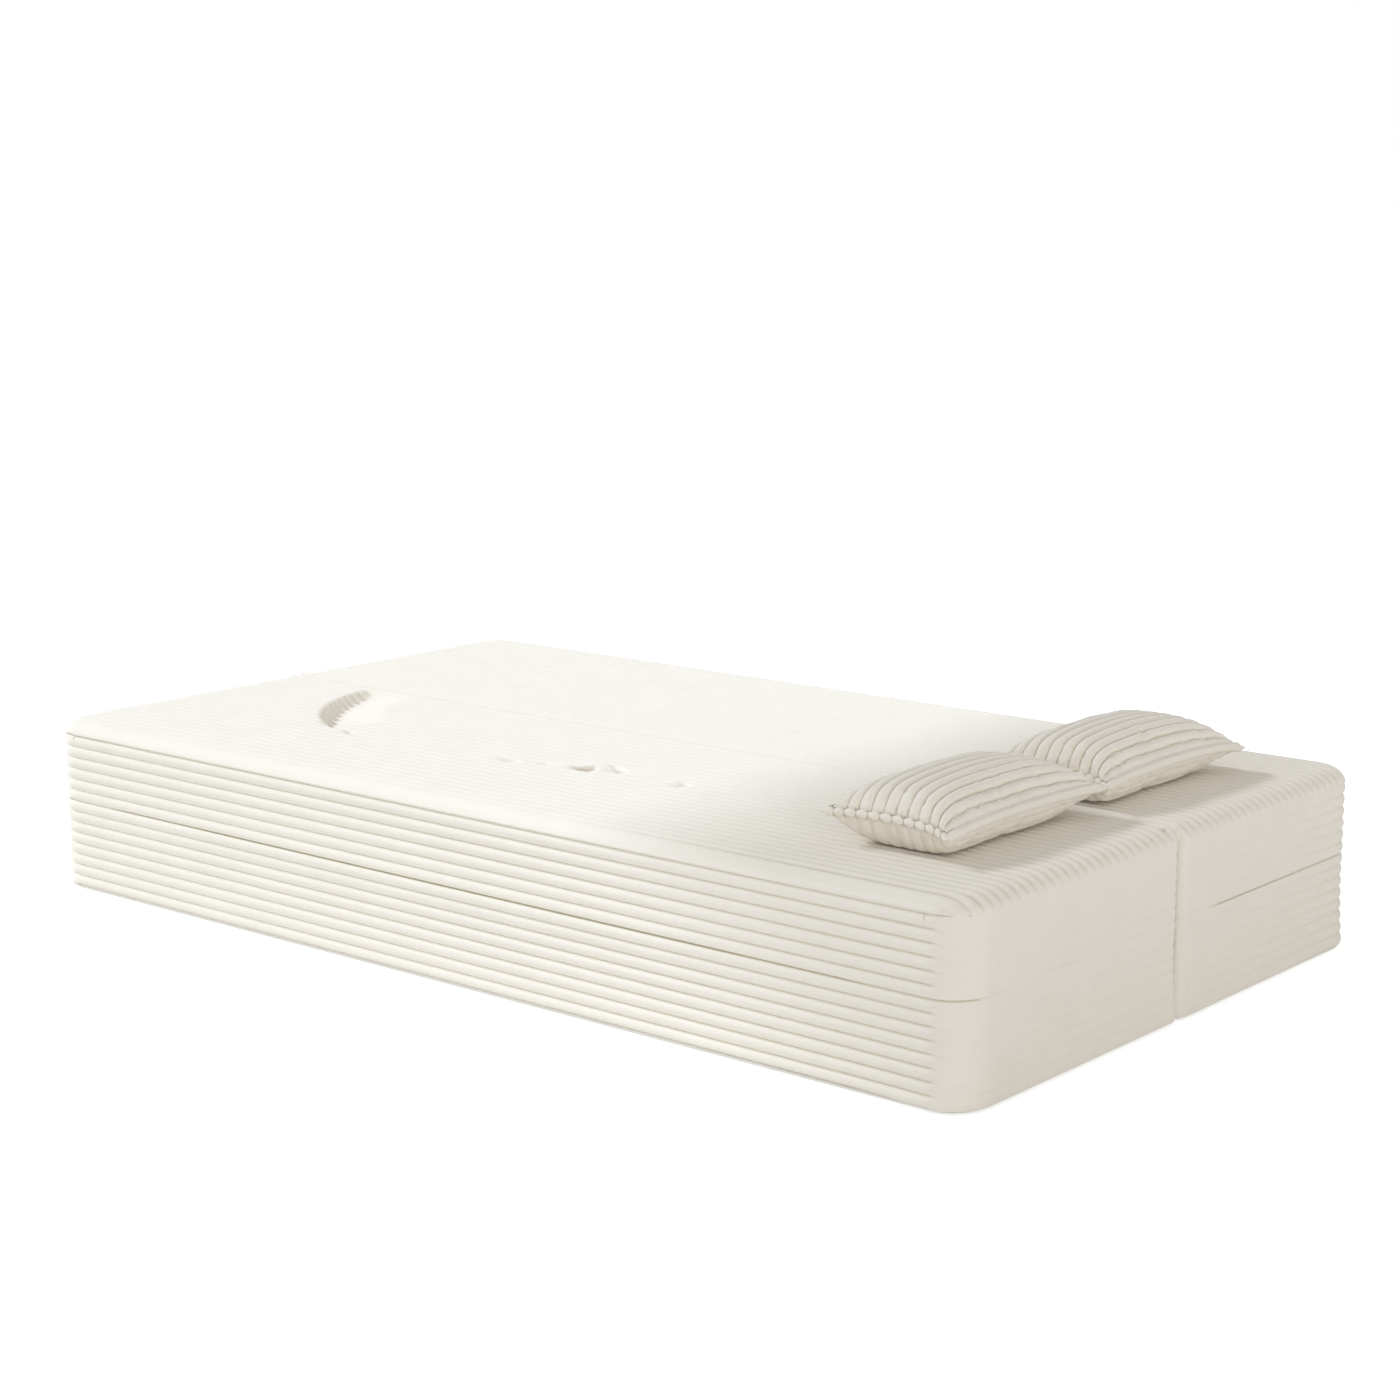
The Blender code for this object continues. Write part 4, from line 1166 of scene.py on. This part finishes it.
for kind, stack, sweep in (("hook", "front", 4.4), ("loop", "rear", 5.6)):
    side = STACK_SIDES[stack]
    for number in (1, 2, 3):
        node = f"{kind}_pad_{number}"
        low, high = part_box(node)
        outer_y = high.y if side < 0 else low.y
        sewn_y = low.y if side < 0 else high.y
        face_y = sewn_y - side * PAD_CLOTH
        cloth = block((low.x, min(sewn_y, face_y), low.z), (high.x, max(sewn_y, face_y), high.z))
        pad = add_blocks(node + "_woven", [cloth], pad_cloth, 0.2 * MM)
        dress(pad, stack + "_lower", [node])
        hook_x, hook_z = (
            np.arange(low[k] + HOOK_MARGINS[0], high[k] - HOOK_MARGINS[1], HOOK_PITCH) for k in (0, 2)
        )
        radius = (abs(outer_y - face_y) - 0.1 * MM) / 2 - HOOK_WIRE
        middle_y = face_y - side * radius
        places = [(x, middle_y, z) for x in hook_x for z in hook_z]
        half_turn = 0 if side < 0 else math.pi
        hooks = add_threads(
            node + "_threads", places, (0, 0, half_turn), stack + "_lower", kind + "_tape", nylon,
            Arc_radius=radius, Thread_radius=HOOK_WIRE, Start=-math.pi / 2, Sweep=sweep, Steps=7,
        )
        (x1, x2), (z1, z2) = ((low[k] + PAD_STITCH_INSET, high[k] - PAD_STITCH_INSET) for k in (0, 2))
        corners = ((x1, z1), (x2, z1), (x2, z2), (x1, z2))
        places_sewn, turns = [], []
        for start, end in zip(corners, (*corners[1:], corners[0])):
            count = round(math.dist(start, end) / STITCH_PITCH * 1.5)
            upright = math.pi / 2 * (start[0] == end[0])
            for k in range(count):
                x, z = np.add(start, np.subtract(end, start) * k / count)
                places_sewn.append((x, face_y + side * 1.2 * MM, z))
                turns.append((0, upright, half_turn))
        stitches = add_stitches(
            node + "_stitches", places_sewn, turns, stack + "_lower", kind + "_tape",
            1.4 * MM, 0.16 * MM, math.pi / 2,
        )
    print("pads:", kind, "x 3, each with", len(places), "threads")

# %% [markdown]
# ## Pillows
# A pillow is two ribbed panels sewn together 9 mm inside their edge and stuffed with fibre. The cloth is not
# stretched to shape: it is cut flat, held by its seam, and pushed out by the filling until it is tight one way
# and puckers the other. That is a job for a cloth simulation. A coarse, closed pillow starts a little flatter
# than it will be, its seam is pinned to the drawn-in outline, and it is blown up with gravity off. The cloth is
# 1.2 % larger than its start, which gives the puckers, and no point may move more than 10 mm. The fine ribbed
# panels are then read off the coarse pillow with a smooth curve through its points, so the ribs keep their width
# in the cloth and follow every pucker. Three corners of a pillow droop, and the near one at the head end is also
# drawn in.

# %% Blow up a pillow
PILLOW_RIB_COUNT = 12
PILLOW_RIB_DEPTH = 7 * MM
PILLOW_RIB_ROUNDNESS = 0.85
PILLOW_FLANGE = 9 * MM
PILLOW_PULL = 7 * MM
PILLOW_RISE = 43 * MM
PILLOW_SINK = 56 * MM
DOME_POWER = 0.55
DOME_FLATNESS = ((2.8, 2.8), (6.5, 2.7))
EAR_DROPS = {
    "front": ((-1, -1, 4 * MM, 0), (1, -1, 12 * MM, 12 * MM), (1, 1, 5 * MM, 0)),
    "rear": ((-1, -1, 4 * MM, 0), (1, -1, 12 * MM, 12 * MM), (1, 1, 12 * MM, 0)),
}
EAR_SHARPNESS = 6
STITCH_HEIGHT = 5.5 * MM
START_SHARE = 0.95
PRESSURE = 2.5
CLOTH_SLACK = -0.012
FRAMES = 20
CAP = 10 * MM
COARSE = (37, 55)
BED_CLEARANCE = 0.4 * MM
BED_EASE = 2 * MM


def dome_section(place, flatness):
    """A section across a pillow before its power, with one flatness below 0 and another above."""
    return 1 - np.abs(place) ** np.where(place < 0, *flatness)


def even_places(count, height, half, flatness):
    """Places from -1 to 1 that are evenly spaced along a dome's section."""
    fine = np.linspace(-1, 1, 801)
    dome = height * dome_section(fine, flatness) ** DOME_POWER
    arcs = np.concatenate(((0,), np.cumsum(np.hypot(half * np.diff(fine), np.diff(dome)))))
    return np.interp(np.linspace(0, arcs[-1], count), arcs, fine)


def blown_up(name, starts):
    """The two start grids, joined at their borders, after the cloth simulation."""
    count = starts[0].shape[0] * starts[0].shape[1]
    top = grid_numbers(*COARSE)
    bottom = top + count
    for ring_number, other in zip(grid_border(top), grid_border(bottom)):
        bottom[bottom == other] = ring_number
    points = np.concatenate([start.reshape(-1, 3) for start in starts])
    faces = grid_faces(top[:, ::-1]) + grid_faces(bottom)
    keep = np.zeros(len(points), bool)
    keep[np.unique(np.concatenate((top.ravel(), bottom.ravel())))] = True
    renumber = np.cumsum(keep) - 1
    pillow = new_object(name, new_mesh(name, points[keep], [[renumber[n] for n in face] for face in faces]))
    seam_group = pillow.vertex_groups.new(name="seam")
    seam_group.add([int(renumber[n]) for n in grid_border(top)], 1, "REPLACE")
    cloth = pillow.modifiers.new("cloth", "CLOTH")
    cloth.settings.vertex_group_mass = seam_group.name
    cloth.settings.use_pressure = True
    cloth.settings.uniform_pressure_force = PRESSURE
    cloth.settings.shrink_min = CLOTH_SLACK
    cloth.settings.quality = 8
    cloth.settings.effector_weights.gravity = 0
    cloth.point_cache.frame_end = FRAMES
    scene = bpy.context.scene
    for step in range(1, FRAMES + 1):
        scene.frame_set(step)
    evaluated = pillow.evaluated_get(bpy.context.evaluated_depsgraph_get())
    moved = np.empty(len(pillow.data.vertices) * 3)
    evaluated.data.vertices.foreach_get("co", moved)
    scene.frame_set(1)
    bpy.data.objects.remove(pillow)
    moved = moved.reshape(-1, 3)
    step = moved - points[keep]
    length = np.linalg.norm(step, axis=1, keepdims=True)
    moved = points[keep] + step * np.minimum(1, CAP / np.maximum(length, 1e-9))
    print(name, f"moved {length.mean() / MM:.1f} mm on average, {length.max() / MM:.1f} mm at most")
    return [moved[renumber[numbers]] for numbers in (top, bottom)]


def smooth_weights(shares, count):
    """Weights of a smooth curve through count even points, read at shares of its length (Catmull-Rom)."""
    place = shares * (count - 1)
    first = np.clip(np.floor(place).astype(int), 0, count - 2)
    t = place - first
    parts = (2 * t**2 - t - t**3, 2 - 5 * t**2 + 3 * t**3, t + 4 * t**2 - 3 * t**3, t**3 - t**2)
    weights = np.zeros((len(shares), count))
    for step, part in enumerate(parts, -1):
        np.add.at(weights, (np.arange(len(shares)), np.clip(first + step, 0, count - 1)), part / 2)
    return weights


print("pillow: a simulation of", COARSE[0] * COARSE[1] * 2, "points, twice")

# %% [markdown]
# ## The pillow's ribbed panels
# Outside the stitch line the two panels lie together as a flange, one narrow rib wide along the long sides.
# Across the short ends each rib comes back as a small bead beyond the stitches. The corners stand out as thin
# ears, because the sides between them are drawn in, and the beads next to a corner merge into its ear. The back
# of a panel lies level with the seam in the flange and follows the cloth in the dome.

# %% Pillow panels and filling
FLANGE_STEPS = np.array((0, 0.08, 0.25, 0.5, 0.75, 0.92, 1))
FLANGE_HEIGHT = 7.8 * MM
BEAD_PULL = 0.75
LONG_SEAM = 0.5
SHORT_SEAM = 0.85
EAR_SEAM = 0.3
EAR_THIN = 0.45
EAR_RIBS = (0.2, 1.6)
BOTTOM_RIBS = 0.28
EDGE_RIB = 0.5
END_COLUMNS = 85
STITCH_REACH = 3 * MM
SEAM_GAP = 0.15 * MM
FILLING_ALLOWANCE = 10.5 * MM
FILLING_SHARE = 0.98
PILLOW_UNEVENNESS = 1.5 * MM
PILLOW_PANEL_THICKNESS = 9 * MM


def flanged(shares):
    """Places 0 to 1 across a panel, with the flange's places before 0 and after 1 as shares of its width."""
    return np.concatenate((FLANGE_STEPS[:-1] - 1, shares, 1 + FLANGE_STEPS[1:]))


for stack in STACK_SIDES:
    low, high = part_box(stack + "_pillow_top_panel")
    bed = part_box(stack + "_upper_top_panel")[1].z
    centre = np.array(((low.x + high.x) / 2, (low.y + high.y) / 2))
    half = np.array(((high.x - low.x) / 2, (high.y - low.y) / 2)) - PILLOW_FLANGE
    seam_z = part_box(stack + "_pillow_top_panel")[0].z
    starts, middles = [], []
    for sign, height in ((1, PILLOW_RISE), (-1, PILLOW_SINK)):
        u = even_places(COARSE[0], height, half[0], DOME_FLATNESS[0])[:, None]
        v = even_places(COARSE[1], height, half[1], DOME_FLATNESS[1])[None, :]
        dome = (dome_section(u, DOME_FLATNESS[0]) * dome_section(v, DOME_FLATNESS[1])) ** DOME_POWER
        x = centre[0] + u * (half[0] - PILLOW_PULL * (1 - v**2))
        y = centre[1] + v * (half[1] - PILLOW_PULL * (1 - u**2))
        middle = np.full(dome.shape, seam_z)
        for ear_u, ear_v, drop, tuck in EAR_DROPS[stack]:
            near_ear = ((1 + ear_u * u) * (1 + ear_v * v) / 4) ** EAR_SHARPNESS
            middle = middle - drop * near_ear
            x = x - ear_u * tuck * near_ear
        middles.append(middle)
        starts.append(np.stack((x, y, middle + sign * START_SHARE * height * dome), axis=-1))
    starts[1][0], starts[1][-1] = starts[0][0], starts[0][-1]
    starts[1][:, 0], starts[1][:, -1] = starts[0][:, 0], starts[0][:, -1]
    coarse = blown_up(stack + "_blown_pillow", starts)

    rib = rib_rows(PILLOW_RIB_COUNT)
    row_place = flanged(rib / PILLOW_RIB_COUNT)
    column_place = flanged(np.linspace(0, 1, END_COLUMNS))
    flange_ribs = FLANGE_STEPS[:-1] - 1
    rib_number = np.concatenate((flange_ribs, rib, PILLOW_RIB_COUNT + FLANGE_STEPS[1:]))
    row_weights = smooth_weights(np.clip(row_place, 0, 1), COARSE[0])
    column_weights = smooth_weights(np.clip(column_place, 0, 1), COARSE[1])
    beyond_x = row_place - np.clip(row_place, 0, 1)
    beyond_y = column_place - np.clip(column_place, 0, 1)
    beyond = np.maximum(np.abs(beyond_x)[:, None], np.abs(beyond_y)[None, :])
    pinch = 1 - np.sqrt(1 - (2 * (rib_number % 1) - 1) ** 2)
    pinch = (pinch * smooth_step(*EAR_RIBS, np.minimum(rib_number, PILLOW_RIB_COUNT - rib_number)))[:, None]
    fillings = []
    for part, sign, grid, middle, seed in (
        ("top", 1, coarse[0], middles[0], 31), ("bottom", -1, coarse[1], middles[1], 32)
    ):
        points = np.einsum("ri,cj,ijk->rck", row_weights, column_weights, grid)
        points[..., 0] += PILLOW_FLANGE * beyond_x[:, None]
        points[..., 1] += PILLOW_FLANGE * beyond_y[None, :] * (1 - BEAD_PULL * pinch)
        in_ear = smooth_step(0, 0.4, np.minimum(np.abs(beyond_x)[:, None], np.abs(beyond_y)[None, :]))
        bead = FLANGE_HEIGHT * np.sqrt(np.maximum(0, 1 - beyond**2.5))
        bead = bead * (1 - BEAD_PULL * pinch) * (1 - EAR_THIN * in_ear)
        padding = np.where(beyond > 0, bead, STITCH_HEIGHT)
        points[..., 2] += sign * np.maximum(padding, SEAM_GAP)
        if part == "bottom":
            rest = bed + BED_CLEARANCE
            points[..., 2] = rest + np.log1p(np.exp((points[..., 2] - rest) / BED_EASE)) * BED_EASE
        points = points[:, ::-sign]
        outward = grid_outward(points)
        from_stitch = np.minimum(
            np.linalg.norm(points - points[:, [6]], axis=2), np.linalg.norm(points - points[:, [-7]], axis=2)
        )
        edge = beyond[:, ::-sign]
        at_long_edge = (rib_number <= 0.2) | (rib_number >= PILLOW_RIB_COUNT - 0.2)
        # Stitch lines sink the cloth and get painted shade through the groove attribute, less at the ears.
        seam_share = np.where(at_long_edge, LONG_SEAM, SHORT_SEAM) * np.where(beyond_x == 0, 1, EAR_SEAM)
        strength = (1 if sign > 0 else BOTTOM_RIBS) * np.where(at_long_edge, EDGE_RIB, 1)[:, None]
        rows = [row for row in range(len(rib_number)) if rib_number[row] % 1 == 0]
        columns = sorted({0, *range(6, points.shape[1] - 6, 4), points.shape[1] - 7, points.shape[1] - 1})
        picked = np.ix_(rows, columns)
        back = (points - PILLOW_PANEL_THICKNESS * outward)[picked]
        seam_height = (row_weights @ middle @ column_weights.T)[:, ::-sign][picked]
        limit = seam_height + sign * SEAM_GAP / 2
        back[..., 2] = np.maximum(back[..., 2], limit) if sign > 0 else np.minimum(back[..., 2], limit)
        outer = grid_numbers(*points.shape[:2])
        inner = grid_numbers(*back.shape[:2], first=outer.size)
        attributes = {
            "rib_place": np.repeat(rib_number, points.shape[1]),
            "rib_fade": np.where(edge > 0, 0, strength).ravel(),
            "seam": (smooth_step(STITCH_REACH, 0, from_stitch) * seam_share[:, None]).ravel(),
            "outward": outward.reshape(-1, 3),
        }
        mesh = new_mesh(
            stack + part, np.concatenate((points.reshape(-1, 3), back.reshape(-1, 3))),
            shell_faces(outer, inner, rows, columns), attributes,
        )
        panel = grow(
            f"{stack}_pillow_{part}_cover", mesh, rib_tree,
            Rib_depth=PILLOW_RIB_DEPTH, Crest_roundness=PILLOW_RIB_ROUNDNESS, Unevenness=PILLOW_UNEVENNESS,
            Seed=seed, Material=plush,
        )
        panel.data.set_sharp_from_angle(angle=SHARP_ANGLE)
        dress(panel, stack + "_pillow", [f"{stack}_pillow_{part}_panel"])
        stuffed = grid[1:-1, 1:-1].copy()
        stuffed[..., :2] = centre + FILLING_SHARE * (stuffed[..., :2] - centre)
        middle = middle[1:-1, 1:-1]
        height = np.maximum(sign * (stuffed[..., 2] - middle) - FILLING_ALLOWANCE + STITCH_HEIGHT, SEAM_GAP)
        if sign < 0:
            height = np.minimum(height, middle - bed - FILLING_ALLOWANCE)
        stuffed[..., 2] = middle + sign * height
        fillings.append(stuffed)
    outer = grid_numbers(*fillings[0].shape[:2])[:, ::-1]
    faces = shell_faces(outer, outer + outer.size, range(outer.shape[0]), range(outer.shape[1]))
    filling = new_object(stack + "_fibre_filling", new_mesh(stack, np.concatenate(fillings), faces), fibre)
    dress(filling, stack + "_pillow", [stack + "_pillow_filling"])
    print("pillow:", stack, "panels of", outer.size, "coarse points")

# %% [markdown]
# ## Floor, backdrop and light
# The bed stands on white. A plain floor runs far behind it, the world is white to the camera, and the floor has
# a little light of its own that only the camera sees, which lifts it to white but keeps a faint shadow. The
# studio's even light comes from the world. A key light from the foot end gives the shapes their shading. It is a
# little blue against the warm cloth, which keeps the lit side near white and leaves the shade warm. A weak, low
# fill from beside the camera lights the upright sides. Two scrims of grey net stand between the key and the bed,
# each given by the share of light that it passes. One hangs over the middle of the bed, so that its shadow falls
# on the head end and holds back more than half of the key there. The other stands low before the foot end, which
# faces the key and would burn out. They throw shadows and nothing else, so they stay out of the picture.

# %% Stage and lamps
FLOOR_REACH = 80
FLOOR_LIFT = 0.57
AMBIENT = 0.53
SUNS = {
    "key_sun": ((-1.0, -0.25, 0.8), 2.87, math.radians(10), (0.79, 0.87, 0.97)),
    "fill_sun": ((0.84, -0.47, 0.12), 0.73, math.radians(25), (1.0, 1.0, 1.0)),
}
SCRIMS = {
    "head_scrim": (0.4, ((-0.76, -2.2, 1.25), (0.6, -2.2, 1.25), (0.6, 0.9, 1.25), (-0.76, 0.9, 1.25))),
    "foot_scrim": (0.6, ((-1.25, -0.58, 0.0), (-1.25, 0.6, 0.0), (-1.25, 0.6, 0.48), (-1.25, -0.58, 0.48))),
}

floor_corners = [(sx * FLOOR_REACH, sy * FLOOR_REACH, 0) for sx, sy in ((-1, -1), (1, -1), (1, 1), (-1, 1))]
floor_material, tree, shader = new_material("matt_white_floor", 0.9, Specular_IOR_Level=0.0)
shader.inputs["Base Color"].default_value = linear("#F4F4F2")
camera_ray = add_node(tree, "ShaderNodeLightPath").outputs["Is Camera Ray"]
lift = add_node(tree, "ShaderNodeMath", {"operation": "MULTIPLY"}, {1: FLOOR_LIFT}, {0: camera_ray})
shader.inputs["Emission Color"].default_value = (1, 1, 1, 1)
tree.links.new(lift.outputs[0], shader.inputs["Emission Strength"])
floor = new_object("floor", new_mesh("floor", floor_corners, [(0, 1, 2, 3)]), floor_material)

for name, (passes, corners) in SCRIMS.items():
    net_material = bpy.data.materials.new("grey_net_of_" + name)
    net_material.use_nodes = True
    tree = net_material.node_tree
    net = add_node(tree, "ShaderNodeBsdfTransparent", values={"Color": (passes, passes, passes, 1)})
    tree.links.new(net.outputs[0], tree.nodes["Material Output"].inputs["Surface"])
    tree.nodes.remove(tree.nodes["Principled BSDF"])
    scrim = new_object(name, new_mesh(name, corners, [(0, 1, 2, 3)]), net_material)
    scrim.visible_camera = False
    scrim.visible_diffuse = False
    scrim.visible_glossy = False

world = bpy.data.worlds.new("white_studio")
bpy.context.scene.world = world
world.use_nodes = True
tree = world.node_tree
rays = add_node(tree, "ShaderNodeLightPath").outputs
seen = add_node(
    tree, "ShaderNodeMath", {"operation": "MAXIMUM"}, links={0: rays["Is Camera Ray"], 1: rays["Is Glossy Ray"]}
)
strength = add_node(tree, "ShaderNodeMapRange", None, {3: AMBIENT, 4: 1.0}, {"Value": seen.outputs[0]})
background = tree.nodes["Background"]
background.inputs["Color"].default_value = (1, 1, 1, 1)
tree.links.new(strength.outputs["Result"], background.inputs["Strength"])

for name, (toward, energy, spread, colour) in SUNS.items():
    sun_data = bpy.data.lights.new(name, "SUN")
    sun_data.energy = energy
    sun_data.angle = spread
    sun_data.color = colour
    sun = bpy.data.objects.new(name, sun_data)
    sun.matrix_world = looking_from(toward)
    bpy.context.scene.collection.objects.link(sun)
bpy.context.scene.view_settings.view_transform = "Standard"
print("light: ambient", AMBIENT, "and", ", ".join(SUNS))
